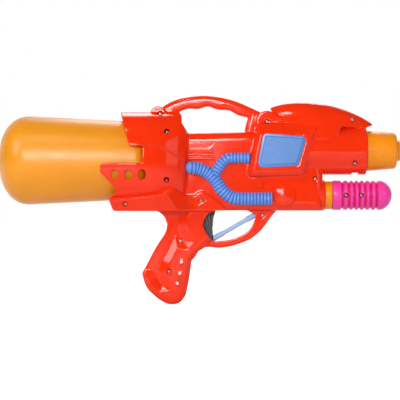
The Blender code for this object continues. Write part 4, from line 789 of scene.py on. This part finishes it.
MIDDLE_SIDE = [
    (-40.0, 116.3, 0.0), (153.1, 116.3, 0.0), (153.1, 160.0, 0.0), (140.0, 196.0, 0.0), (60.0, 214.0, 0.0),
    (-40.0, 212.2, 0.0),
]
LUG_SIDE = [
    (80.0, 222.0, 0.0), (106.0, 223.5, 0.0), (106.0, 230.5, 2.0), (94.0, 235.5, 3.0), (83.5, 239.9, 0.0),
]
forms = [
    side_slab("middle", MIDDLE_SIDE, BODY_HALF, 10.0),
    turned("barrel", profile([
        (70.0, 0.0), (70.0, 30.0), (207.5, 30.0, 1.5), (207.5, 0.0)]), BARREL_Z),
    turned("housing", profile([
        (60.0, 0.0), (60.0, 19.5), (155.9, 19.5, 1.0), (155.9, 0.0)]), PUMP_Z),
    side_slab("handle", HANDLE_SIDE, 11.5, 5.5),
    rod("rear_lug", (-51.5, -18.0, 236.6), (-51.5, 18.0, 236.6), 9.2),
    rod("front_lug", (83.5, -20.0, 226.7), (83.5, 20.0, 226.7), 13.4),
    side_slab("lug_plate", LUG_SIDE, 20.0, 2.0),
    side_slab("guard", GUARD_SIDE, 9.5, 3.5),
]
carve(red_body, forms, "UNION")
print("all forms joined", len(red_body.data.polygons))

# %% [markdown]
# Now the openings: room for the tank, the trigger's slot and the finger hole, the pump's bore, seats for
# the windows, the oval holes in the drum's lower flaps, each with a shallow wider rim, and the notch under
# the muzzle. One half is kept, because the other is its mirror image.

# %% Openings
HOLE = (4.5, 6.4)
HOLE_RIM = 1.3
HOLE_RIM_DEPTH = 2.4
WINDOW_SEAT = 30.4


def flap_hole(x, z, wider, floor):
    turns = [math.tau * i / 32 for i in range(32)]
    ring = [(x + (HOLE[0] + wider) * math.cos(a), z + (HOLE[1] + wider) * math.sin(a)) for a in turns]
    return slab("hole", ring, -72.0, floor)


SLOT_SIDE = [
    (-12.0, 78.0, 0.0), (18.0, 78.6, 0.0), (22.0, 104.0, 0.0), (22.0, 113.5, 0.0), (33.0, 113.5, 0.0),
    (33.0, 124.0, 0.0), (-12.0, 124.0, 0.0),
]
ROOM_SIDE = [
    (-36.0, 120.0, 0.0), (50.0, 120.0, 0.0), (50.0, 164.0, 0.0), (86.0, 166.0, 0.0), (86.0, 206.0, 0.0),
    (-18.0, 208.0, 0.0), (-36.0, 203.0, 0.0),
]
openings = [
    slab("drum_room", oval(52.2, 56.75, DRUM_Z, 2.3), -140.0, -72.0, "X"),
    slab("shoulder_room", oval(47.0, 50.0, DRUM_Z, 2.2), -73.0, -62.5, "X"),
    rod("socket_hole", (-64.0, 0.0, TANK_Z), (-30.0, 0.0, TANK_Z), 20.9),
    rod("barrel_room", (160.0, 0.0, BARREL_Z), (215.0, 0.0, BARREL_Z), 22.3),
    rod("shank_hole", (80.0, 0.0, BARREL_Z), (165.0, 0.0, BARREL_Z), 11.3),
    rod("pump_bore", (45.0, 0.0, PUMP_Z), (165.0, 0.0, PUMP_Z), 15.3),
    side_slab("room", ROOM_SIDE, 19.0, 5.0),
    side_slab("slot", SLOT_SIDE, 6.6),
    side_slab("finger_hole", FINGER_SIDE, 60.0),
    block("notch", (189.5, -13.0, 155.0), (197.5, 13.0, 163.4)),
    rod("strap_seat", (66.0, 0.0, 109.6), (73.5, 0.0, 113.0), 3.3),
    slab("window_seat", outline(WINDOW_SIDE), -60.0, -WINDOW_SEAT),
    block("other_half", (-400.0, -SEAM, -50.0), (400.0, 100.0, 350.0)),
] + [flap_hole(x, z, 0.0, -42.0) for x, z in FLAP_HOLES]
openings += [flap_hole(x, z, HOLE_RIM, HOLE_RIM_DEPTH - DRUM_HALF) for x, z in FLAP_HOLES]
carve(red_body, openings, "DIFFERENCE")
print("left half cut", len(red_body.data.polygons))

# %% [markdown]
# The sharp half is remeshed on a fine grid and relaxed, so that edges and inner corners get the small
# radius of a mould. Flat areas then need far fewer faces than the grid gave them, and Decimate takes those
# away.

# %% Moulded edges
GRID = 0.72
RELAX = 8
BODY_FACES = 185000


def mould(obj, grid, relax, faces):
    remesh = obj.modifiers.new("grid", "REMESH")
    remesh.mode = "VOXEL"
    remesh.voxel_size = grid * MM
    ease = obj.modifiers.new("ease", "SMOOTH")
    ease.factor = 0.5
    ease.iterations = relax
    settle(obj)
    for vertex in obj.data.vertices:
        vertex.co.z = min(max(vertex.co.z, cad_box[0].z), cad_box[1].z)
    triangles = sum(len(p.vertices) - 2 for p in obj.data.polygons)
    if triangles > faces:
        thin = obj.modifiers.new("thin", "DECIMATE")
        thin.ratio = faces / triangles
        settle(obj)
    print("moulded", triangles, "to", len(obj.data.polygons))
    return obj


mould(red_body, GRID, RELAX, BODY_FACES)

# %% [markdown]
# Small raised details are added after the relaxing, which would have flattened them: three ridges behind
# the hose, a tab under the window, a domed disc beside the pump, and three square studs for the fingers.
# The studs lean up a little, which turns them to the strip of light. The right half is then the mirror
# image of the left.

# %% Ridges, tab, disc and studs
DISC = [
    (-20.0, 0.0), (-20.0, 13.1), (-24.2, 13.1, 1.6), (-25.4, 8.0, 8.0), (-25.8, 2.0, 1.0), (-26.6, 1.4, 0.6),
    (-26.7, 0.0),
]
DISC_X = 104.9
DISC_Z = 134.9
RIDGE = [(-14.0, 0.0), (-14.0, 1.9, 1.4), (18.5, 1.9, 1.4), (18.5, 0.0)]
RIDGE_Y = -21.5
STUD = [(-2.5, -2.5, 0.8), (2.5, -2.5, 0.8), (2.5, 2.5, 0.8), (-2.5, 2.5, 0.8)]
STUD_Y = -17.8
TAB_HEIGHT = 1.3
STUD_LEAN = Matrix.Rotation(math.radians(-10.0), 4, "X")
ACROSS = Matrix.Rotation(math.pi / 2, 4, "Z")


def ridge(z):
    made = turned("ridge", profile(RIDGE), z, 32)
    made.data.transform(Matrix.Translation((0.0, RIDGE_Y * MM, 0.0)))
    return made


def stud(x, z):
    made = slab("stud", outline(STUD), -2.2, 3.0, edge=0.75, rings=3)
    made.data.transform(Matrix.Translation((x * MM, STUD_Y * MM, z * MM)) @ STUD_LEAN)
    return made


def disc():
    made = turned("disc", profile(DISC), 0.0, 64)
    made.data.transform(Matrix.Translation((DISC_X * MM, 0.0, DISC_Z * MM)) @ ACROSS)
    return made


details = [ridge(z) for z in RIDGES] + [stud(x, z) for x, z in STUDS]
details += [disc(), slab("tab", outline(TAB_SIDE), -BODY_HALF - TAB_HEIGHT, -18.0, edge=0.8, rings=3)]
carve(red_body, details, "UNION")
print("with details", len(red_body.data.polygons))
right_half = red_body.copy()
right_half.data = red_body.data.copy()
scene.collection.objects.link(right_half)
flip = bmesh.new()
flip.from_mesh(right_half.data)
bmesh.ops.scale(flip, vec=(1.0, -1.0, 1.0), verts=flip.verts)
bmesh.ops.reverse_faces(flip, faces=flip.faces)
flip.to_mesh(right_half.data)
flip.free()

# %% [markdown]
# ## Screws
#
# Twelve screws hold the halves together and two hold the pump's handle. They are driven from the left side
# through round recesses, which are cut after the relaxing so that their rims stay crisp. One function
# models a pan head with a cross recess and its shank, at each place and depth.

# %% Screw recesses and screws
SHELL_SCREWS = (
    (-49.0, 236.6, 12.5), (-40.3, 213.7, 22.0), (-40.4, 154.1, 24.0), (-91.2, 124.6, 30.0),
    (1.9, 128.9, 20.0), (-23.9, 78.6, 11.5), (-37.8, 40.8, 11.5), (78.3, 110.3, 6.0), (83.5, 226.7, 15.0),
    (189.7, 229.2, 14.0), (191.9, 175.1, 18.0), (142.9, 155.6, 17.0),
)
PUMP_SCREWS = ((182.0, PUMP_Z, 13.4), (200.4, PUMP_Z, 13.4))
HEAD = 2.65
CROSS = (0.45, 1.7)
SHANK = 1.4
SHANK_END = 8.0
RECESS = 3.3
PUMP_RECESS = 3.0


def screw(x, z, seat):
    """A pan-head screw along Y whose head rests on its seat."""
    head = [
        (-seat - 0.3, 0.0), (-seat - 0.3, HEAD), (-seat - 1.3, HEAD, 0.6), (-seat - 2.3, 1.5, 1.2),
        (-seat - 2.4, 0.0),
    ]
    made = turned("head", profile(head), 0.0, 40)
    slots = []
    for half_y, half_z in (CROSS, CROSS[::-1]):
        slots.append(block("slot", (-seat - 3.0, -half_y, -half_z), (-seat - 1.0, half_y, half_z)))
    carve(made, slots, "DIFFERENCE")
    shank = rod("shank", (-seat - 1.0, 0.0, 0.0), (SHANK_END, 0.0, 0.0), SHANK, 24)
    carve(made, [shank], "UNION")
    made.data.transform(Matrix.Translation((x * MM, 0.0, z * MM)) @ ACROSS)
    return made


def screws(places, name, body, node):
    for number, (x, z, seat) in enumerate(places, 1):
        made = dress(screw(x, z, seat), f"{name}_{number}", body, steel, [f"{node}_{number}"])
        made.data.set_sharp_from_angle(angle=math.radians(30))


recesses = [rod("recess", (x, -90.0, z), (x, -seat, z), RECESS, 40) for x, z, seat in SHELL_SCREWS]
carve(red_body, recesses, "DIFFERENCE")
for half in (red_body, right_half):
    half.modifiers.new("flats_first", "WEIGHTED_NORMAL")
dress(red_body, "body_left", "casing", red, ["left_shell"])
dress(right_half, "body_right", "casing", red, ["right_shell"])
screws(SHELL_SCREWS, "cross_screw", "casing", "shell_screw")
screws(PUMP_SCREWS, "pump_cross_screw", "pump", "pump_grip_screw")

# %% [markdown]
# ## The tank
#
# A blown bottle is a body of revolution: a deep dome at the back, a long side that draws in towards the
# front, a round shoulder and a threaded neck. Its profile is spun once, outside and inside together, so the
# wall is real.

# %% Tank
DOME_STEPS = 24
DOME_POWER = 2.25
DOME_REACH = 38.4
TANK_WALL = [
    (-66.0, 47.75, 14.0), (-66.0, 16.5, 1.0), (-61.0, 14.5, 1.0), (-45.0, 14.5, 0.5), (-45.0, 11.5, 0.5),
    (-65.0, 11.5, 1.0), (-68.0, 45.5, 13.0), (-211.0, 52.0),
]


def dome(back_x, radius):
    """The curve from the dome's middle to where it meets the side."""
    points = []
    for i in range(DOME_STEPS + 1):
        a = math.pi / 2 * i / DOME_STEPS
        along = 1.0 - math.cos(a) ** (2.0 / DOME_POWER)
        points.append((back_x + DOME_REACH * along, radius * math.sin(a) ** (2.0 / DOME_POWER)))
    return points


def tank_profile():
    outside = dome(-250.0, 55.0)
    wall = profile([outside[-1]] + TANK_WALL)
    inside = dome(-248.0, 53.0)
    return outside + [tuple(p) for p in wall[1:]] + inside[::-1]


bottle = turned("tank", tank_profile(), TANK_Z, 128)
dress(bottle, "tank_bottle", "tank", amber, ["water_tank"])

# %% [markdown]
# ## Muzzle and pump ring
#
# The nozzle tapers to a rounded front, with a raised ring round a dished jet. The ring at the mouth of the
# pump housing is the same yellow plastic. All three are turned.

# %% Nozzle, tip and ring
NOZZLE = [
    (144.5, 2.0), (144.5, 3.0), (151.5, 3.0), (151.5, 11.0, 0.5), (197.5, 11.0), (197.5, 22.0), (207.8, 22.0),
    (207.8, 25.2, 0.8), (245.6, 22.2, 4.5), (245.6, 13.2, 0.4), (242.7, 13.2), (242.7, 2.0), (144.5, 2.0),
]
TIP = [
    (243.0, 1.2), (243.0, 12.9, 0.3), (250.0, 12.9, 1.2), (250.0, 8.6, 0.8), (247.2, 5.6, 0.8),
    (247.2, 1.2, 0.3), (243.0, 1.2),
]
RING = [
    (148.9, 4.8), (148.9, 12.7), (156.2, 12.7), (156.2, 17.4, 0.8), (165.3, 17.4, 1.2), (165.3, 4.8, 0.4),
    (148.9, 4.8),
]
for knots, axis_z, name, node in (
        (NOZZLE, BARREL_Z, "nozzle_cone", "nozzle_barrel"),
        (TIP, BARREL_Z, "nozzle_ring", "nozzle_tip"),
        (RING, PUMP_Z, "pump_ring", "pump_end_cap")):
    dress(turned(name, profile(knots), axis_z), name, "casing", yellow, [node])

# %% [markdown]
# ## The pump's handle
#
# Two pink half shells with finger ribs and a domed front. The whole handle is turned from one profile,
# whose ribs are rounded by their fillets, and cut in two along the seam.

# %% Pump handle
PUMP_REAR = 165.6
DOME_START = 223.0
PUMP_FRONT = 240.2
GROOVES = (178.1, 186.0, 192.6, 199.2, 206.1, 213.1, 220.4)
GROOVE_HALF = 2.5
GROOVE_FLOOR_HALF = 0.4
RIB = 18.4
GROOVE = 16.2
CREST = 18.2
SHADE_FADE = 1.8
FRONT_STEPS = 20


def pump_profile():
    knots = [(PUMP_REAR, 0.0), (PUMP_REAR, RIB, 1.2)]
    for x in GROOVES:
        knots += [(x - GROOVE_HALF, RIB, 3.0), (x - GROOVE_FLOOR_HALF, GROOVE, 0.5)]
        knots += [(x + GROOVE_FLOOR_HALF, GROOVE, 0.5), (x + GROOVE_HALF, RIB, 3.0)]
    points = [tuple(p) for p in profile(knots + [(DOME_START, RIB)])]
    for i in range(1, FRONT_STEPS + 1):
        a = math.pi / 2 * i / FRONT_STEPS
        points.append((DOME_START + (PUMP_FRONT - DOME_START) * math.sin(a), RIB * math.cos(a)))
    return points


def half_of(obj, side, name):
    bm = bmesh.new()
    bm.from_mesh(obj.data)
    cut = bmesh.ops.bisect_plane(
        bm, geom=bm.verts[:] + bm.edges[:] + bm.faces[:], plane_co=(0.0, side * SEAM * MM, 0.0),
        plane_no=(0.0, -side, 0.0), clear_outer=True)
    rim = [e for e in cut["geom_cut"] if isinstance(e, bmesh.types.BMEdge)]
    bmesh.ops.holes_fill(bm, edges=rim)
    bmesh.ops.recalc_face_normals(bm, faces=bm.faces)
    return from_bmesh(bm, name)


def store_groove_shade(half):
    """Keeps how deep each point of a half handle lies between the ribs, as the weight of its painted shade.
    """
    painted_shade = half.data.attributes.new("painted_shade", "FLOAT", "POINT")
    for vertex in half.data.vertices:
        from_axis = math.hypot(vertex.co.y, vertex.co.z - PUMP_Z * MM) / MM
        ribbed = vertex.co.x < (GROOVES[-1] + 2.0) * MM
        depth = min(1.0, max(0.0, (CREST - from_axis) / SHADE_FADE))
        painted_shade.data[vertex.index].value = depth if ribbed else 0.0


whole = turned("pump", pump_profile(), PUMP_Z, 128)
left_grip = half_of(whole, -1.0, "pump_left")
right_grip = half_of(whole, 1.0, "pump_right")
bpy.data.objects.remove(whole, do_unlink=True)
pump_recesses = [rod("recess", (x, -30.0, z), (x, -seat, z), PUMP_RECESS, 40) for x, z, seat in PUMP_SCREWS]
carve(left_grip, pump_recesses, "DIFFERENCE")
for half, side in ((left_grip, "left"), (right_grip, "right")):
    store_groove_shade(half)
    dress(half, f"pump_handle_{side}", "pump", pink, [f"pump_grip_{side}"])
    half.data.set_sharp_from_angle(angle=math.radians(40))

# %% [markdown]
# ## Windows
#
# Each window is a blue panel, set a little below its frame, with rounded corners and a raised middle that
# slopes down to its border. Both are the same outline, the second drawn in by a margin.

# %% Window panels
WINDOW_MARGIN = 3.0
PANEL_LAYER = (30.6, 32.2)
PLATEAU_LAYER = (30.9, 33.4)


def window(side, name, node):
    made = slab("panel", outline(WINDOW_SIDE), *PANEL_LAYER, edge=0.5, rings=3)
    middle = outline(inset(WINDOW_SIDE, WINDOW_MARGIN))
    plateau = slab("plateau", middle, *PLATEAU_LAYER, edge=1.1, rings=2)
    carve(made, [plateau], "UNION")
    if side < 0.0:
        made.data.transform(Matrix.Scale(-1.0, 4, (0.0, 1.0, 0.0)))
        made.data.flip_normals()
    dress(made, name, "casing", window_blue, [node])
    made.data.set_sharp_from_angle(angle=math.radians(20))


window(-1.0, "window_panel_left", "window_left")
window(1.0, "window_panel_right", "window_right")

# %% [markdown]
# ## Corrugated hose
#
# A blue Y-shaped hose is moulded on each side. Along its route the radius swells and shrinks once per ring.
# A curve with a round bevel sweeps the tube, each point has its own radius, and the depth of each groove is
# kept as an attribute, so that the finish can darken the grooves as painted shade.

# %% Hose
HOSE_MAIN = [
    (-17.5, 169.4, 25.5), (-10.0, 169.3, 25.0), (-3.1, 168.6, 23.5), (9.3, 163.4, 22.0), (19.1, 154.2, 22.0),
    (27.8, 141.8, 22.0), (40.1, 132.6, 22.0), (53.7, 131.1, 22.0), (89.5, 131.1, 22.0),
]
HOSE_BRANCH = [
    (17.0, 157.5, 22.0), (22.0, 167.0, 22.0), (27.5, 174.8, 22.0), (35.0, 180.6, 22.0), (45.0, 181.3, 22.0),
    (63.0, 181.3, 22.0),
]
HOSE_RADIUS = 8.3
BRANCH_RADIUS = 6.9
RING_PITCH = 4.15
RING_STEPS = 8
RING_DEPTH = 0.105


def tube(places, sizes, radius, roundness):
    """The mesh of a round tube along places, with its radius scaled by a size at each."""
    curve = bpy.data.curves.new("tube", "CURVE")
    curve.dimensions = "3D"
    spline = curve.splines.new("POLY")
    spline.points.add(len(places) - 1)
    for point, place, size in zip(spline.points, places, sizes):
        point.co = (*(place * MM), 1.0)
        point.radius = size
    curve.bevel_depth = radius * MM
    curve.bevel_resolution = roundness
    curve.use_fill_caps = True
    holder = placed(curve, "tube")
    bpy.context.view_layer.update()
    mesh = bpy.data.meshes.new_from_object(holder.evaluated_get(bpy.context.evaluated_depsgraph_get()))
    bpy.data.objects.remove(holder, do_unlink=True)
    return mesh


def hose_tube(knots, side, radius, round_start):
    """One corrugated tube, which keeps for each of its points how deep between its rings it lies, as the
    weight of painted shade.
    """
    step = RING_PITCH / RING_STEPS
    places = route([(x, y * side, z) for x, z, y in knots], step)
    depths = []
    sizes = []
    for i in range(len(places)):
        depth = (0.5 + 0.5 * math.cos(math.tau * i / RING_STEPS)) ** 3.0
        size = 1.0 - RING_DEPTH * depth
        if round_start and i * step < radius:
            fade = i * step / radius
            depth *= max(0.0, fade * 2.0 - 1.0)
            size = (1.0 - RING_DEPTH * depth) * math.sqrt(max(0.0, 1.0 - (1.0 - fade) ** 2))
        sizes.append(max(size, 0.02))
        depths.append(depth)
    mesh = tube(places, sizes, radius, 10)
    around = len(mesh.vertices) // len(places)
    # Painted shade: the finish darkens each point by how deep in its groove it lies.
    painted_shade = mesh.attributes.new("painted_shade", "FLOAT", "POINT")
    for i in range(len(mesh.vertices)):
        painted_shade.data[i].value = depths[min(i // around, len(depths) - 1)]
    return mesh


def hose(side, name, node):
    bm = bmesh.new()
    for knots, radius, rounded in ((HOSE_MAIN, HOSE_RADIUS, True), (HOSE_BRANCH, BRANCH_RADIUS, False)):
        bm.from_mesh(hose_tube(knots, side, radius, rounded))
    bmesh.ops.remove_doubles(bm, verts=bm.verts, dist=0.00001)
    bmesh.ops.recalc_face_normals(bm, faces=bm.faces)
    dress(from_bmesh(bm, name), name, "casing", hose_blue, [node])


hose(-1.0, "ribbed_hose_left", "hose_inlay_left")
hose(1.0, "ribbed_hose_right", "hose_inlay_right")

# %% [markdown]
# ## Trigger
#
# A glossy dark trigger with a hollowed front edge. Shallow ribs run down its sides and meet at the toe.
# Their crests are paler as a painted highlight and the rest darker as painted shade, so how far a point
# lies below them is kept as an attribute.

# %% Trigger
PIVOT_X = 24.3
PIVOT_Z = 122.0
FORK_Z = 142.0
BLADE = [
    (21.3, 119.0, 0.0), (19.3, 114.0, 0.0), (16.6, 102.7), (16.2, 94.6), (16.8, 86.0), (17.4, 78.9, 1.0),
    (10.5, 79.4, 2.0), (-1.0, 95.0), (0.5, 108.0), (9.0, 120.0, 3.0),
]
BLADE_HALF = 5.4
RIB_TOPS = (1.5, 6.5, 11.5, 16.5)
RIB_TOP_Z = 110.0
RIB_TOE = (14.8, 82.0)
RIB_Y = 5.2
RIB_CREST = 6.3
trigger = side_slab("blade", BLADE, BLADE_HALF, 1.2)
ribs = []
for top_x in RIB_TOPS:
    for y in (-RIB_Y, RIB_Y):
        ribs.append(rod("rib", (top_x, y, RIB_TOP_Z), (RIB_TOE[0], y, RIB_TOE[1]), 1.1, 24, 0.5))
carve(trigger, ribs, "UNION")
arms = [
    rod("hub", (PIVOT_X, -6.0, PIVOT_Z), (PIVOT_X, 6.0, PIVOT_Z), 5.0),
    block("arm", (21.3, -6.0, PIVOT_Z), (27.3, 6.0, FORK_Z)),
    rod("nose", (PIVOT_X, -6.0, FORK_Z), (PIVOT_X, 6.0, FORK_Z), 2.98),
]
carve(trigger, arms, "UNION")
cuts = [
    block("fork", (14.0, -2.6, 137.0), (34.0, 2.6, 152.0)),
    rod("pin_hole", (PIVOT_X, -20.0, PIVOT_Z), (PIVOT_X, 20.0, PIVOT_Z), 2.3, 24),
]
carve(trigger, cuts, "DIFFERENCE")
# Painted shade on the blade between the ribs, which leaves their crests paler as a painted highlight.
shade_below_crest = trigger.data.attributes.new("painted_shade", "FLOAT", "POINT")
for vertex in trigger.data.vertices:
    shade_below_crest.data[vertex.index].value = min(1.0, max(0.0, RIB_CREST - abs(vertex.co.y) / MM))
dress(trigger, "trigger_blade", "trigger", graphite, ["trigger"])
trigger.data.set_sharp_from_angle(angle=math.radians(35))

# %% [markdown]
# ## Elastic return strap
#
# A blue elastic band pulls the trigger forward. It is hooked on the trigger's toe and on the front of the
# guard, and thicker where its ends are doubled.

# %% Strap
elastic = plastic("elastic_blue", (0.34, 0.55, 0.92), 0.4)
STRAP_KNOTS = [(15.6, 0.0, 80.4), (33.0, 0.0, 90.0), (50.6, 0.0, 100.2), (72.6, 0.0, 112.6)]
STRAP_RADIUS = 3.3
STRAP_FLATNESS = 0.5
DOUBLED_SHARE = 0.22
DOUBLED_FADE = 0.05
SINGLE_THINNER = 0.24


def strap():
    places = route(STRAP_KNOTS, 0.8)
    last = len(places) - 1
    sizes = []
    for i in range(len(places)):
        share = min(1.0, max(0.0, (min(i, last - i) / last - DOUBLED_SHARE) / DOUBLED_FADE))
        sizes.append(1.0 - SINGLE_THINNER * share * share * (3.0 - 2.0 * share))
    mesh = tube(places, sizes, STRAP_RADIUS, 8)
    mesh.transform(Matrix.Scale(STRAP_FLATNESS, 4, (0.0, 1.0, 0.0)))
    mesh.materials.clear()
    mesh.materials.append(elastic)
    mesh.shade_smooth()
    obj = placed(mesh, "elastic_strap")
    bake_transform(obj)
    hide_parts("return_strap")
    print("elastic_strap", "faces", len(mesh.polygons))


strap()

# %% [markdown]
# ## Works inside
#
# The pump, valves and hoses inside the body keep the shapes of the jointed model, because they are seen
# only when the pump is drawn or the tank is off. They get the finish of what they are made of.

# %% Finishes for the works
WORKS = {
    white: (
        "pump_cylinder", "check_valve", "tank_socket", "valve_block", "valve_plunger", "piston", "pump_rod"),
    clear: ("feed_hose", "delivery_hose", "air_hose", "pickup_tube"),
    rubber: ("tank_seal", "piston_ring"),
    steel: ("trigger_pin",),
}
for look, names in WORKS.items():
    for name in names:
        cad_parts[name].material_slots[0].material = look
print("works finished", sum(len(names) for names in WORKS.values()))
